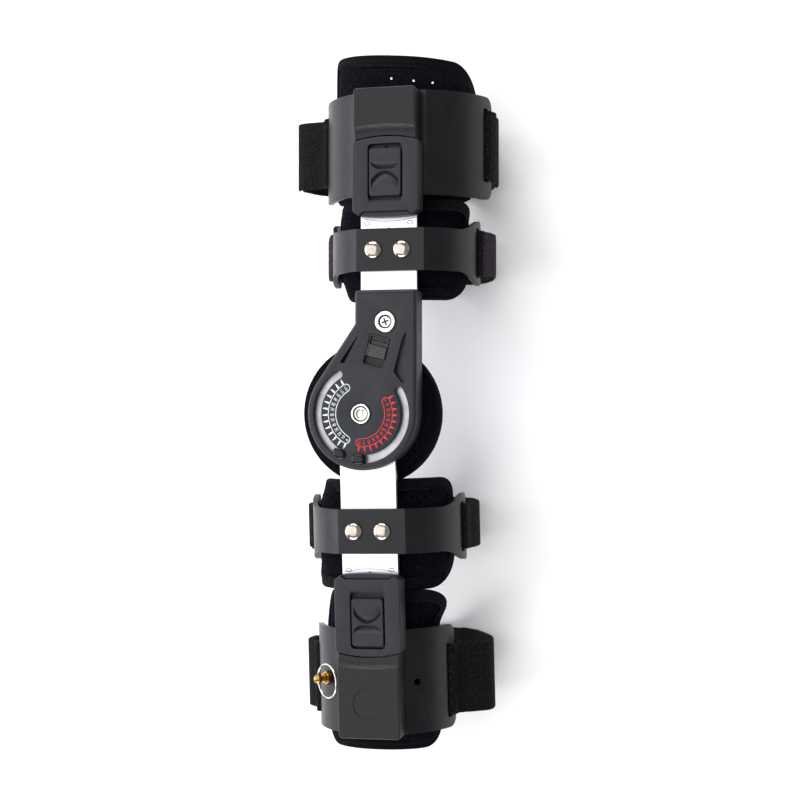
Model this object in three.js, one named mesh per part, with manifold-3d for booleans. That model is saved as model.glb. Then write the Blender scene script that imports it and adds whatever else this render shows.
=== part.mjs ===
// Hinged elbow brace, lying on its back with the dial up.
// X runs across the arm, Y from the forearm to the upper arm, Z out of the dial.
// While it is modelled, the hinge axis is X = 0, Y = 0, and the bars' front faces are Z = 0.

import * as THREE from 'three';
import { mergeVertices } from 'three/addons/utils/BufferGeometryUtils.js';
import { ConvexGeometry } from 'three/addons/geometries/ConvexGeometry.js';
import Module from 'manifold-3d';

const wasm = await Module();
wasm.setup();

// Driving dimensions, in millimetres and degrees
const gap = 0.3;
const restDepth = 92;

const barWidth = 30.8;
const barThickness = 3;
const upperBarAcross = 13.5;
const lowerBarAcross = -1;
const lowerTilt = 1.5;
const upperBarStart = 30;
const upperBarEnd = 166;
const lowerBarEnd = 165;
const lockHoleRadius = 2.4;
const lockHolePitch = 10;
const lockHoleSides = 8;
const upperLockHoleStart = 97.2;
const lowerLockHoleStart = 87;

const neckWall = 1.3;
const neckCorner = 1.5;
const dialShift = 0.25;
const neckTop = 66;
const neckKnee = 48;
const coverFront = 7;
const coverWall = 3.3;
const coverEdge = 0.9;
const skirtEnd = 122;
const skirtStart = -48;
const plateRadius = 28;
const backPlateThickness = 2.4;
const dialTurn = 14.8;

const slotRadius = 24.3;
const slotWidth = 4.3;
const extensionSlotStart = 115.6;
const extensionSlotEnd = 247.5;
const flexionSlotStart = 260;
const flexionSlotEnd = 395.4;
const stopLength = 8;
const stopWidth = 5.8;
const stopRise = 1.5;
const stopStemLength = 4.6;
const extensionStopAngle = 240.8;
const flexionStopAngle = 266.9;

const switchWidth = 11.4;
const switchLength = 16.5;
const switchDepth = 2.4;
const switchSliderLength = 11.5;
const switchRise = 0.5;
const switchRibs = 3;

const screwAlong = 48.9;
const switchBelowScrew = 14.3;
const screwHeadRadius = 5.6;
const screwStemRadius = 2.5;
const rivetHeadRadius = 5.3;
const rivetStemRadius = 3.5;
const headSink = 0.9;
const headRise = 0.7;

const hingePadRadius = 39;
const hingePadThickness = 12;

const bandWall = 2.5;
const bandPlateHalf = 18.3;
const bandRivetSpread = 15.8;
const bandRivetRadius = 4.8;
const bandRivetRise = 2.4;
const bandRivetStem = 2.3;
const bandTipRise = 6.3;
const bandCorner = 2.5;

const shellWall = 3;
const shellClearance = 0.1;
const shellPlateHalf = 18;
const shellCorner = 6;
const bossHalf = 17;
const bossFront = 9.5;
const bossSlope = 5.5;
const bossEdge = 1.2;
const bossRoot = 0.4;

const lockCoverHalf = 18.2;
const lockCoverFront = 7.5;
const lockCoverCorner = 3.5;
const lockCoverBow = 1.1;
const windowWidth = 19;
const windowLength = 30;
const windowDepth = 4.2;
const sliderWidth = 17.5;
const sliderLength = 25.4;
const sliderRise = 0.4;
const tongueHalf = 14.4;
const tongueLength = 4.2;
const tongueDrop = 3.2;

const padThickness = 7;
const padSquareness = 2.2;
const padEnd = 10;
const padClearance = 0.4;

const strapThickness = 2.1;
const strapSlot = 3.8;
const strapEndBar = 4.6;
const strapSlotMargin = 1;
const strapLap = 26;
const strapStackEnd = 7;
const bossChannelBefore = 20;
const bossEndWall = 5;

const plungerAngle = 42;
const plungerAlong = 143.5;
const nutRadius = 3.9;
const nutHeight = 2.2;
const plungerCollarRadius = 2.7;
const plungerCollarHeight = 1.4;
const plungerStemRadius = 1.5;
const plungerHeadRadius = 2.6;
const plungerHeadHeight = 6.8;
const ringRadius = 9;
const ringWire = 0.75;
const ringHoleRadius = 1.35;
const wingHoleAngle = -37;
const wingHoleAlong = 144.5;
const wingHoleRadius = 1.9;
const discRadius = 8.6;
const discDepth = 0.4;
const discAlong = 154;

// One row for each loop round the arm. along is the middle of the cuff and strapAlong that of
// the strap, slackLeft and slackRight are how far the strap bulges past the cuff, seen with
// the elbow at the near end.
const loops = {
  upperWide: {
    along: 145, height: 56, halfSpan: 48, centreOffset: 1.35, endAngle: 78, strapWidth: 38,
    strapAlong: 146.6, slackLeft: 21.1, slackRight: -0.8,
  },
  upperNarrow: {
    along: 87.6, height: 22.7, halfSpan: 41.2, centreOffset: 1.4, endAngle: 93, strapWidth: 25,
    strapAlong: 87.6, slackLeft: 7.2, slackRight: 2.2,
  },
  lowerNarrow: {
    along: 63, height: 24, halfSpan: 43, centreOffset: -2.1, endAngle: 91, strapWidth: 25,
    strapAlong: 63, slackLeft: 1.9, slackRight: 7.1,
  },
  lowerWide: {
    along: 144, height: 56, halfSpan: 39.4, centreOffset: 0.8, endAngle: 80, strapWidth: 38,
    strapAlong: 146.4, slackLeft: 16.4, slackRight: 10.5,
  },
};

// One row for each pad. low and high are its edges along the arm, slant is how much the high
// edge drops from its left end to its right end, and the cuff holds it between holdLow and
// holdHigh. Beyond them its edges stand out by splay and have their own corners, both given
// for the left end, the middle and the right end.
const pads = {
  upperWide: {
    low: 115.6, high: 192.5, slant: 5.5, holdLow: 118, holdHigh: 173.5,
    lowSplay: [0, 0, 0], highSplay: [0.4, -3.2, -4.6], lowCorner: [10, 10], highCorner: [10, 10],
  },
  upperNarrow: {
    low: 62.3, high: 114.4, slant: 0, holdLow: 76, holdHigh: 105.5,
    lowSplay: [-4.6, 0, -1], highSplay: [0, -0.6, 5], lowCorner: [12, 16], highCorner: [10, 14],
  },
  lowerNarrow: {
    low: 36.5, high: 94.4, slant: 0, holdLow: 51, holdHigh: 81.5,
    lowSplay: [0, 0, -3.4], highSplay: [-1.5, -0.6, 1], lowCorner: [8, 8], highCorner: [18, 8],
  },
  lowerWide: {
    low: 96.4, high: 181.4, slant: 0, holdLow: 115.5, holdHigh: 172.5,
    lowSplay: [10, 0, -3], highSplay: [-1.6, -1.6, -1.6], lowCorner: [16, 10], highCorner: [12, 12],
  },
};

// One row for each telescoping shell, lengths measured from the hinge axis.
const shells = {
  upper: { coverStart: 104.6, seam: 147.2, bossEnd: 173, windowFromEnd: 8.8, sliderFromWindow: 2.2 },
  lower: { coverStart: 85.1, seam: 129.2, bossEnd: 172.5, windowFromEnd: 10, sliderFromWindow: 3.2 },
};

// The band widens towards its tips: along is the share of the wing from the plate to the
// tip, flare the share of the tip's extra height on each side.
const bandFlare = [
  { along: 0, flare: 0 },
  { along: 0.45, flare: 0.05 },
  { along: 0.66, flare: 0.25 },
  { along: 0.82, flare: 0.7 },
  { along: 0.92, flare: 1 },
  { along: 1, flare: 1 },
];

// The sloped pockets in the housing's face: two deep corners, then the one where the floor
// runs out, each with its place and depth.
const pockets = [
  [{ x: -2, y: 42.2, depth: 1 }, { x: -11.9, y: 27.5, depth: 2.6 }, { x: -9.2, y: 26.6, depth: 0.1 }],
  [{ x: 24.8, y: 43.5, depth: 1 }, { x: 18.9, y: 22.6, depth: 2.6 }, { x: 24.4, y: 16.6, depth: 0.1 }],
];

// A section along the arm: along is the share of the wall's width, half the share of half its
// thickness, low and high the shares of the splay of its low and high edge.
const plainSection = () => [
  { along: 0, half: 1, low: 0, high: 0 },
  { along: 1, half: 1, low: 0, high: 0 },
];
const padRim = 0.04;
const padRimHalf = 0.4;

// The free side of a strap's loop: reach is the share of the loop's half width, down the
// share of the way from the cuff's end to the floor.
const strapLoop = [
  { reach: 1, down: 0.16 },
  { reach: 1, down: 0.36 },
  { reach: 0.86, down: 0.66 },
  { reach: 0.6, down: 0.95 },
  { reach: 0.3, down: 1 },
];

const degrees = Math.PI / 180;
const barHalf = barWidth / 2;
const coverHalf = barHalf + gap + neckWall;
const dialRadius = upperBarAcross + coverHalf - dialShift;
const switchAlong = screwAlong - switchBelowScrew;
const coverBase = -barThickness;
const backPlateFront = -barThickness - gap;
const backPlateBack = backPlateFront - backPlateThickness;
const dialPlateTop = coverFront - coverWall - gap;
const bandPlateMiddle = gap + bandWall / 2;
const shellPlateMiddle = -barThickness - gap - shellClearance - shellWall / 2;
const bodyColours = {
  charcoal: { color: '#3b3f44', roughness: 0.55, metalness: 0 },
  wing: { color: '#4a4a50', roughness: 0.4, metalness: 0 },
  aluminium: { color: '#e4e2e8', roughness: 0.35, metalness: 0.9 },
  nickel: { color: '#cfc8bf', roughness: 0.2, metalness: 1 },
  brass: { color: '#b99a4e', roughness: 0.3, metalness: 1 },
  steel: { color: '#d5d2d0', roughness: 0.2, metalness: 1 },
  pad: { color: '#15161c', roughness: 0.95, metalness: 0 },
  strap: { color: '#1b1a1f', roughness: 0.95, metalness: 0 },
};

// A closed body from vertices and faces, turned so that its faces point out.
function closedGeometry(points, faces) {
  const corner = (index) => new THREE.Vector3(...points[index]);
  const volume = faces.reduce(
    (sum, [a, b, c]) => sum + corner(a).dot(corner(b).cross(corner(c))),
    0,
  );
  const turned = volume < 0 ? faces.map(([a, b, c]) => [a, c, b]) : faces;
  const geometry = new THREE.BufferGeometry();
  geometry.setAttribute('position', new THREE.Float32BufferAttribute(points.flat(), 3));
  geometry.setIndex(turned.flat());
  return geometry;
}

function toSolid(geometry) {
  const bare = geometry.clone();
  bare.deleteAttribute('normal');
  bare.deleteAttribute('uv');
  const merged = mergeVertices(bare, 1e-4);
  const mesh = new wasm.Mesh({
    numProp: 3,
    vertProperties: new Float32Array(merged.attributes.position.array),
    triVerts: new Uint32Array(merged.index.array),
  });
  return new wasm.Manifold(mesh);
}

function toGeometry(solid) {
  const mesh = solid.getMesh();
  const geometry = new THREE.BufferGeometry();
  geometry.setAttribute('position', new THREE.BufferAttribute(mesh.vertProperties, 3));
  geometry.setIndex(new THREE.BufferAttribute(mesh.triVerts, 1));
  geometry.computeVertexNormals();
  return geometry;
}

function cutFrom(base, tools) {
  return tools.reduce((solid, tool) => solid.subtract(toSolid(tool)), toSolid(base));
}

function box(width, length, height, x, y, z) {
  return new THREE.BoxGeometry(width, length, height).translate(x, y, z);
}

// An upright cylinder between two heights.
function post(radius, low, high, x = 0, y = 0, sides = 24) {
  return new THREE.CylinderGeometry(radius, radius, high - low, sides)
    .rotateX(Math.PI / 2)
    .translate(x, y, (low + high) / 2);
}

// A turned piece about the Z axis from rows of radius and height, sides facets round.
function turned(rows, sides = 24) {
  const profile = rows.map(({ radius, height }) => new THREE.Vector2(radius, height));
  return new THREE.LatheGeometry(profile, sides).rotateX(Math.PI / 2);
}

// A flat outline in X and Y pulled up from low to high, its edges broken by edge and each
// of its arcs in facets facets.
function slab(outline, low, high, edge = 0, facets = 4) {
  const body = new THREE.ExtrudeGeometry(outline, {
    depth: high - low - 2 * edge,
    bevelEnabled: edge > 0,
    bevelThickness: edge,
    bevelSize: edge,
    bevelOffset: -edge,
    bevelSegments: 1,
    curveSegments: facets / 2,
  });
  return body.translate(0, 0, low + edge);
}

// A side outline in Y and Z pulled along X from -half to half.
function profileSlab(outline, half) {
  const body = new THREE.ExtrudeGeometry(outline, { depth: 2 * half, bevelEnabled: false });
  const turn = new THREE.Matrix4().makeBasis(
    new THREE.Vector3(0, 1, 0),
    new THREE.Vector3(0, 0, 1),
    new THREE.Vector3(1, 0, 0),
  );
  return body.applyMatrix4(turn).translate(-half, 0, 0);
}

function outlineOf(points) {
  return new THREE.Shape(points.map(([x, y]) => new THREE.Vector2(x, y)));
}

function roundedRectangle(left, right, low, high, corner) {
  const shape = new THREE.Shape();
  shape.moveTo(left + corner, low);
  shape.lineTo(right - corner, low);
  shape.absarc(right - corner, low + corner, corner, -Math.PI / 2, 0);
  shape.lineTo(right, high - corner);
  shape.absarc(right - corner, high - corner, corner, 0, Math.PI / 2);
  shape.lineTo(left + corner, high);
  shape.absarc(left + corner, high - corner, corner, Math.PI / 2, Math.PI);
  shape.lineTo(left, low + corner);
  shape.absarc(left + corner, low + corner, corner, Math.PI, 1.5 * Math.PI);
  return shape;
}

// A slot with round ends along an arc about the origin.
function arcSlot(radius, width, start, end) {
  const from = start * degrees + width / 2 / radius;
  const to = end * degrees - width / 2 / radius;
  const half = width / 2;
  const shape = new THREE.Shape();
  shape.absarc(0, 0, radius + half, from, to);
  shape.absarc(radius * Math.cos(to), radius * Math.sin(to), half, to, to + Math.PI);
  shape.absarc(0, 0, radius - half, to, from, true);
  shape.absarc(radius * Math.cos(from), radius * Math.sin(from), half, from + Math.PI, from + 2 * Math.PI);
  return shape;
}

// A wall swept along a path in X and Z. Each station has its place, its outward normal, its
// low and high edge along Y, its thickness and how far each edge stands out; each row of the
// section adds two points.
function sweptWall(stations, section) {
  const points = [];
  const rows = section(stations[0]).length;
  for (const station of stations) {
    const { lowOut = 0, highOut = 0 } = station;
    const place = (row, side) => {
      const offset = side * row.half * station.thickness / 2 + row.low * lowOut + row.high * highOut;
      const y = station.low + (station.high - station.low) * row.along;
      return [station.x + station.nx * offset, y, station.z + station.nz * offset];
    };
    points.push(...section(station).map((row) => place(row, 1)));
    points.push(...section(station).map((row) => place(row, -1)).reverse());
  }
  const size = 2 * rows;
  const faces = [];
  for (let step = 0; step < stations.length - 1; step += 1) {
    for (let k = 0; k < size; k += 1) {
      const a = step * size + k;
      const b = step * size + ((k + 1) % size);
      faces.push([a, b, b + size], [a, b + size, a + size]);
    }
  }
  const last = (stations.length - 1) * size;
  for (let k = 0; k < rows - 1; k += 1) {
    const opposite = size - 1 - k;
    faces.push([k, opposite, opposite - 1], [k, opposite - 1, k + 1]);
    faces.push([last + k, last + opposite - 1, last + opposite]);
    faces.push([last + k, last + k + 1, last + opposite - 1]);
  }
  return closedGeometry(points, faces);
}

// Stations at given distances along a path of [x, z] points, with normals to its left.
function stationsOn(path, distances) {
  const reach = [0];
  for (let i = 1; i < path.length; i += 1) {
    reach.push(reach[i - 1] + Math.hypot(path[i][0] - path[i - 1][0], path[i][1] - path[i - 1][1]));
  }
  const total = reach[reach.length - 1];
  const at = (distance) => {
    const wanted = Math.min(Math.max(distance, 0), total);
    let i = 1;
    while (i < path.length - 1 && reach[i] < wanted) {
      i += 1;
    }
    const share = (wanted - reach[i - 1]) / (reach[i] - reach[i - 1]);
    return path[i - 1].map((value, axis) => value + share * (path[i][axis] - value));
  };
  return distances(total).map((distance) => {
    const [x, z] = at(distance);
    const before = at(distance - 0.4);
    const after = at(distance + 0.4);
    const length = Math.hypot(after[0] - before[0], after[1] - before[1]);
    return {
      distance, x, z,
      nx: -(after[1] - before[1]) / length,
      nz: (after[0] - before[0]) / length,
    };
  });
}

// How much a rounded corner takes off an edge at a distance from the end.
function cornerCut(distance, corner) {
  const inside = Math.max(corner - distance, 0);
  return corner - Math.sqrt(corner * corner - inside * inside);
}

// Distances that lie close together at both ends and evenly between.
function endedSteps(total, corner, count) {
  const ends = [0, 0.08, 0.3, 0.65, 1].map((share) => share * corner);
  const middle = Array.from({ length: count - 1 }, (_, i) => (
    corner + (total - 2 * corner) * (i + 1) / count
  ));
  return [...ends, ...middle, ...ends.map((value) => total - value).reverse()];
}

// The cuff's round wings meet a flat plate over the bar.
function cuffShape(across, halfSpan, wall, plateHalf, plateMiddle, endAngle) {
  const radius = halfSpan - wall / 2;
  const centreZ = plateMiddle - Math.sqrt(radius * radius - plateHalf * plateHalf);
  return {
    across, radius, centreZ, endAngle, wall, plateHalf, plateMiddle,
    plateAngle: Math.asin(plateHalf / radius),
  };
}

function cuffPath(cuff) {
  const steps = 60;
  const wing = (from, to) => Array.from({ length: steps + 1 }, (_, i) => {
    const angle = from + (to - from) * i / steps;
    return [cuff.across + cuff.radius * Math.sin(angle), cuff.centreZ + cuff.radius * Math.cos(angle)];
  });
  const end = cuff.endAngle * degrees;
  return [...wing(-end, -cuff.plateAngle), ...wing(cuff.plateAngle, end)];
}

// A frame on the cuff's middle surface, turned so that its Z points out of the wall.
function onCuff(cuff, angle, y, rise = 0) {
  const reach = cuff.radius + rise;
  return new THREE.Matrix4().makeRotationY(angle).setPosition(
    cuff.across + reach * Math.sin(angle),
    y,
    cuff.centreZ + reach * Math.cos(angle),
  );
}

// The wing's angle at the middle of its strap slot.
function slotAngle(cuff) {
  return cuff.endAngle * degrees - (strapEndBar + strapSlot / 2) / cuff.radius;
}

function slotCuts(cuff, loop) {
  return [-1, 1].map((side) => (
    new THREE.BoxGeometry(strapSlot, loop.strapWidth + 2 * strapSlotMargin, 4 * cuff.wall)
      .applyMatrix4(onCuff(cuff, side * slotAngle(cuff), loop.strapAlong))
  ));
}

// A strap: it passes through both slots, folds back round the end bars and hangs in a slack
// loop that lies flat on the floor. The doubled stretch is twice as thick.
function strapBody(cuff, loop, doubledSide) {
  const foldAngle = slotAngle(cuff) + (strapSlot / 2 - gap - strapThickness) / cuff.radius;
  const endAngle = cuff.endAngle * degrees;
  const floor = -restDepth + strapThickness / 2;
  const endZ = cuff.centreZ + cuff.radius * Math.cos(endAngle);
  const half = cuff.radius + cuff.wall / 2;
  const sidePath = (side, slack) => {
    const wing = [0, 0.5, 1].map((share) => {
      const angle = foldAngle + (endAngle + 1.2 / cuff.radius - foldAngle) * share;
      return [cuff.across + side * cuff.radius * Math.sin(angle), cuff.centreZ + cuff.radius * Math.cos(angle)];
    });
    const free = strapLoop.map(({ reach, down }) => (
      [cuff.across + side * reach * (half + slack - strapThickness), endZ + (floor - endZ) * down]
    ));
    return [...wing, ...free];
  };
  const left = sidePath(-1, loop.slackLeft);
  const right = sidePath(1, loop.slackRight).reverse();
  const points = [...left, [cuff.across, floor], ...right];
  const curve = new THREE.CatmullRomCurve3(
    points.map(([x, z]) => new THREE.Vector3(x, 0, z)), false, 'centripetal',
  );
  const path = curve.getPoints(400).map((point) => [point.x, Math.max(point.z, floor)]);
  const stack = cuff.wall + 2 * (gap + strapThickness);
  const barEnd = (endAngle - foldAngle) * cuff.radius + gap;
  const thicknessAt = (distance, doubled) => {
    const lapEnd = barEnd + (doubled ? 3 * strapLap : strapLap);
    const rows = [
      [0, 0.72 * stack], [0.5, 0.93 * stack], [1.2, stack], [barEnd + 0.6, stack],
      [barEnd + strapStackEnd, 2 * strapThickness], [lapEnd, 2 * strapThickness], [lapEnd + 1, strapThickness],
    ];
    const next = rows.findIndex(([reach]) => reach > distance);
    if (next < 0) {
      return strapThickness;
    }
    const [reach, thick] = rows[next];
    const [startReach, startThick] = rows[next - 1];
    return startThick + (thick - startThick) * (distance - startReach) / (reach - startReach);
  };
  const stations = stationsOn(path, (total) => {
    const ends = [0, 0.5, 1.2, 3, barEnd + 0.6, barEnd + 3, barEnd + strapStackEnd, barEnd + 11];
    const middle = 24;
    const start = ends[ends.length - 1];
    const between = Array.from({ length: middle - 1 }, (_, i) => (
      start + (total - 2 * start) * (i + 1) / middle
    ));
    return [...ends, ...between, ...ends.map((value) => total - value).reverse()];
  });
  const total = stations[stations.length - 1].distance;
  const sized = stations.map((station) => {
    const thickness = Math.max(
      thicknessAt(station.distance, doubledSide < 0),
      thicknessAt(total - station.distance, doubledSide > 0),
    );
    const onFloor = station.z < floor + 0.01;
    const lift = onFloor ? (thickness - strapThickness) / 2 : 0;
    return {
      ...station,
      z: Math.max(station.z + lift, -restDepth + thickness / 2),
      thickness,
      low: loop.strapAlong - loop.strapWidth / 2,
      high: loop.strapAlong + loop.strapWidth / 2,
    };
  });
  const tunnels = [-1, 1].map((side) => {
    const from = foldAngle + (strapThickness - 0.05) / cuff.radius;
    const to = endAngle + (gap + 0.1) / cuff.radius;
    const middle = (from + to) / 2;
    return new THREE.BoxGeometry((to - from) * cuff.radius, 3 * loop.strapWidth, cuff.wall + 2 * gap)
      .applyMatrix4(onCuff(cuff, side * middle, loop.strapAlong));
  });
  return toGeometry(cutFrom(sweptWall(sized, plainSection), tunnels));
}

// The value for a place between the left end (-1), the middle (0) and the right end (1).
function acrossPad([left, middle, right], side) {
  const end = side < 0 ? left : right;
  return middle + (end - middle) * side * side;
}

// How much of a pad's free part is left where a corner or a neighbour takes some off.
function freeShare(left, whole) {
  return Math.min(Math.max(left / whole, 0), 1);
}

// A pad that lines the cuff, behind what lies over it and just short of the strap's slots.
function padBody(cuff, pad, behind, lowEdge = () => pad.low) {
  const half = cuff.radius - cuff.wall / 2 - padClearance - padThickness / 2;
  const rise = behind - gap - cuff.centreZ - padThickness / 2;
  const end = slotAngle(cuff) - (strapSlot / 2 + 3 * gap) / cuff.radius;
  const round = (value) => Math.sign(value) * Math.abs(value) ** (2 / padSquareness);
  const steps = 120;
  const path = Array.from({ length: steps + 1 }, (_, i) => {
    const angle = end * (2 * i / steps - 1);
    return [cuff.across + half * round(Math.sin(angle)), cuff.centreZ + rise * round(Math.cos(angle))];
  });
  const stations = stationsOn(path, (total) => endedSteps(total, padEnd, 10));
  const total = stations[stations.length - 1].distance;
  const sized = stations.map((station) => {
    const side = (station.x - cuff.across) / half;
    const end = side < 0 ? 0 : 1;
    const fromEnd = Math.min(station.distance, total - station.distance);
    const low = lowEdge(station.x) + cornerCut(fromEnd, pad.lowCorner[end]);
    const high = pad.high - pad.slant * side / 2 - cornerCut(fromEnd, pad.highCorner[end]);
    return {
      ...station,
      thickness: padThickness - 1.6 * cornerCut(fromEnd, padThickness / 2),
      low,
      high,
      lowOut: acrossPad(pad.lowSplay, side) * freeShare(pad.holdLow - low, pad.holdLow - pad.low),
      highOut: acrossPad(pad.highSplay, side) * freeShare(high - pad.holdHigh, pad.high - pad.holdHigh),
    };
  });
  const section = ({ low, high }) => {
    const share = (along, least, most) => Math.min(Math.max((along - low) / (high - low), least), most);
    return [
      { along: 0, half: padRimHalf, low: 1, high: 0 },
      { along: padRim, half: 1, low: 1, high: 0 },
      { along: share(pad.holdLow, 2 * padRim, 0.5), half: 1, low: 0, high: 0 },
      { along: share(pad.holdHigh, 0.5, 1 - 2 * padRim), half: 1, low: 0, high: 0 },
      { along: 1 - padRim, half: 1, low: 0, high: 1 },
      { along: 1, half: padRimHalf, low: 0, high: 1 },
    ];
  };
  return sweptWall(sized, section);
}

function barHoles(start, end, across) {
  const count = Math.floor((end - lockHolePitch / 2 - start) / lockHolePitch) + 1;
  return Array.from({ length: count }, (_, i) => (
    post(lockHoleRadius, -2 * barThickness, barThickness, across, start + i * lockHolePitch, lockHoleSides)
  ));
}

function rivetPlaces(across, loop) {
  return [-1, 1].map((side) => ({ x: across + side * bandRivetSpread / 2, y: loop.along }));
}

function rivetHoles(across, loop) {
  return rivetPlaces(across, loop).map(({ x, y }) => (
    post(bandRivetStem + gap, -2 * barThickness, 2 * coverFront, x, y, 12)
  ));
}

// A narrow cuff: plate, two wings that flare at their tips, two slots and two rivet holes.
function bandBody(cuff, loop, across) {
  const plateLength = 2 * cuff.plateHalf;
  const flareAt = (share) => {
    const next = Math.max(bandFlare.findIndex(({ along }) => along >= share), 1);
    const a = bandFlare[next - 1];
    const b = bandFlare[next];
    return a.flare + (b.flare - a.flare) * (share - a.along) / (b.along - a.along);
  };
  const stations = stationsOn(cuffPath(cuff), (total) => {
    const wing = (total - plateLength) / 2;
    const shares = [0, 0.03, 0.08, 0.18, 0.26, 0.34, 0.45, 0.55, 0.7, 0.85, 0.98];
    const left = shares.map((share) => share * wing);
    return [...left, wing + 0.5, total - wing - 0.5, ...left.map((value) => total - value).reverse()];
  });
  const total = stations[stations.length - 1].distance;
  const wing = (total - plateLength) / 2;
  const sized = stations.map((station) => {
    const fromEnd = Math.min(station.distance, total - station.distance);
    const flare = bandTipRise * flareAt(Math.min(Math.max(1 - fromEnd / wing, 0), 1));
    const cut = cornerCut(fromEnd, bandCorner);
    return {
      ...station,
      thickness: cuff.wall,
      low: loop.along - loop.height / 2 - flare + cut,
      high: loop.along + loop.height / 2 + flare - cut,
    };
  });
  const cuts = [...slotCuts(cuff, loop), ...rivetHoles(across, loop)];
  return toGeometry(cutFrom(sweptWall(sized, plainSection), cuts));
}

// The domed rivet, its stem ending flush with the back of the bar.
function bandRivet() {
  const seat = gap + bandWall + gap;
  return turned([
    { radius: 0, height: -barThickness },
    { radius: bandRivetStem, height: -barThickness },
    { radius: bandRivetStem, height: seat },
    { radius: bandRivetRadius, height: seat },
    { radius: 0.86 * bandRivetRadius, height: seat + 0.55 * bandRivetRise },
    { radius: 0.5 * bandRivetRadius, height: seat + 0.9 * bandRivetRise },
    { radius: 0, height: seat + bandRivetRise },
  ], 16);
}

// The wide cuff with the raised boss that the bar runs into.
function shellBody(cuff, loop, shell, centre, extraCuts) {
  const stations = stationsOn(cuffPath(cuff), (total) => endedSteps(total, shellCorner, 16));
  const total = stations[stations.length - 1].distance;
  const sized = stations.map((station) => {
    const cut = cornerCut(Math.min(station.distance, total - station.distance), shellCorner);
    return {
      ...station,
      thickness: cuff.wall,
      low: loop.along - loop.height / 2 + cut,
      high: loop.along + loop.height / 2 - cut,
    };
  });
  const wall = toSolid(sweptWall(sized, plainSection));
  const bossStart = shell.seam + gap;
  const bossBase = shellPlateMiddle - bossRoot;
  const plan = slab(
    roundedRectangle(centre - bossHalf, centre + bossHalf, bossStart, shell.bossEnd, 2 * bossEdge),
    bossBase - 2 * bossEdge, bossFront, bossEdge,
  );
  const side = profileSlab(outlineOf([
    [bossStart - 1, bossBase], [shell.bossEnd + 1, bossBase], [shell.bossEnd + 1, bossFront + 1],
    [bossStart + bossSlope, bossFront + 0.5], [bossStart - 1, lockCoverFront - 0.4],
  ]), 2 * bossHalf).translate(centre, 0, 0);
  const boss = toSolid(plan).intersect(toSolid(side));
  const wallTop = shellPlateMiddle + shellWall / 2;
  const channelFrom = bossStart - bossChannelBefore;
  const channelTo = shell.bossEnd - bossEndWall;
  const channel = box(
    barWidth + 2 * gap, channelTo - channelFrom, gap - wallTop,
    centre, (channelFrom + channelTo) / 2, (gap + wallTop) / 2,
  );
  const cuts = [channel, ...slotCuts(cuff, loop), ...extraCuts];
  return toGeometry(cuts.reduce((solid, tool) => solid.subtract(toSolid(tool)), wall.add(boss)));
}

// The lock's cover: a cap over the bar with a window for the slider, its elbow edge bowed,
// with a lower tongue, its far edge bowed along the seam.
function lockCoverBody(shell, centre) {
  const start = shell.coverStart;
  const end = shell.seam - lockCoverBow;
  const half = lockCoverHalf;
  const bow = (half * half + lockCoverBow * lockCoverBow) / (2 * lockCoverBow);
  const spread = Math.asin((half - lockCoverCorner) / bow);
  const plan = new THREE.Shape();
  plan.absarc(centre, start + bow, bow, -Math.PI / 2 - spread, -Math.PI / 2 + spread);
  plan.lineTo(centre + half, start + lockCoverCorner);
  plan.lineTo(centre + half, end);
  plan.absarc(centre, end + lockCoverBow - bow, bow, Math.PI / 2 - spread, Math.PI / 2 + spread);
  plan.lineTo(centre - half, end);
  plan.lineTo(centre - half, start + lockCoverCorner);
  const tongue = slab(outlineOf([
    [centre - tongueHalf - 4, start - 5], [centre + tongueHalf + 4, start - 5],
    [centre + tongueHalf, start + tongueLength], [centre - tongueHalf, start + tongueLength],
  ]), lockCoverFront - tongueDrop, lockCoverFront + 1);
  const length = shell.seam - shell.coverStart;
  const channel = box(
    barWidth + 2 * gap, length + 10, barThickness + 2 * gap + 1,
    centre, start + length / 2, gap - (barThickness + 2 * gap + 1) / 2,
  );
  const windowStart = start + shell.windowFromEnd;
  const window = slab(roundedRectangle(
    centre - windowWidth / 2, centre + windowWidth / 2, windowStart, windowStart + windowLength, 2,
  ), lockCoverFront - windowDepth, lockCoverFront + 1);
  return toGeometry(cutFrom(slab(plan, -barThickness, lockCoverFront, 0.8, 8), [channel, tongue, window]));
}

// The thumb slider: a plate in the window with two scoops either side of a narrow ridge.
function lockSliderBody() {
  const low = lockCoverFront - windowDepth + gap;
  const high = lockCoverFront + sliderRise;
  const half = sliderWidth / 2;
  const plate = slab(roundedRectangle(-half, half, 0, sliderLength, 1.6), low, high, 0.4);
  const scoop = (y) => new THREE.CylinderGeometry(4.2, 4.2, sliderWidth - 2.4, 24)
    .rotateZ(Math.PI / 2)
    .translate(0, y, high + 2.4);
  const middle = sliderLength / 2;
  return toGeometry(cutFrom(plate, [scoop(middle - 4.4), scoop(middle + 4.4)]));
}

// The housing's outline: neck over the bar, one straight side, one side that runs to the dial.
function coverOutline() {
  const right = upperBarAcross + coverHalf;
  const left = upperBarAcross - coverHalf;
  const kneeReach = Math.hypot(left - dialShift, neckKnee);
  const touch = Math.atan2(neckKnee, left - dialShift) + Math.acos(dialRadius / kneeReach);
  const shape = new THREE.Shape();
  shape.moveTo(right, 0);
  shape.lineTo(right, neckTop - neckCorner);
  shape.lineTo(right - neckCorner, neckTop);
  shape.lineTo(left + neckCorner, neckTop);
  shape.lineTo(left, neckTop - neckCorner);
  shape.lineTo(left, neckKnee);
  shape.absarc(dialShift, 0, dialRadius, touch, 2 * Math.PI - 0.01);
  return shape;
}

// A pocket with a sloping floor.
function slopedPocket(corners) {
  const top = corners.map(({ x, y }) => new THREE.Vector3(x, y, coverFront + 1));
  const floor = corners.map(({ x, y, depth }) => new THREE.Vector3(x, y, coverFront - depth));
  return new ConvexGeometry([...top, ...floor]);
}

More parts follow.
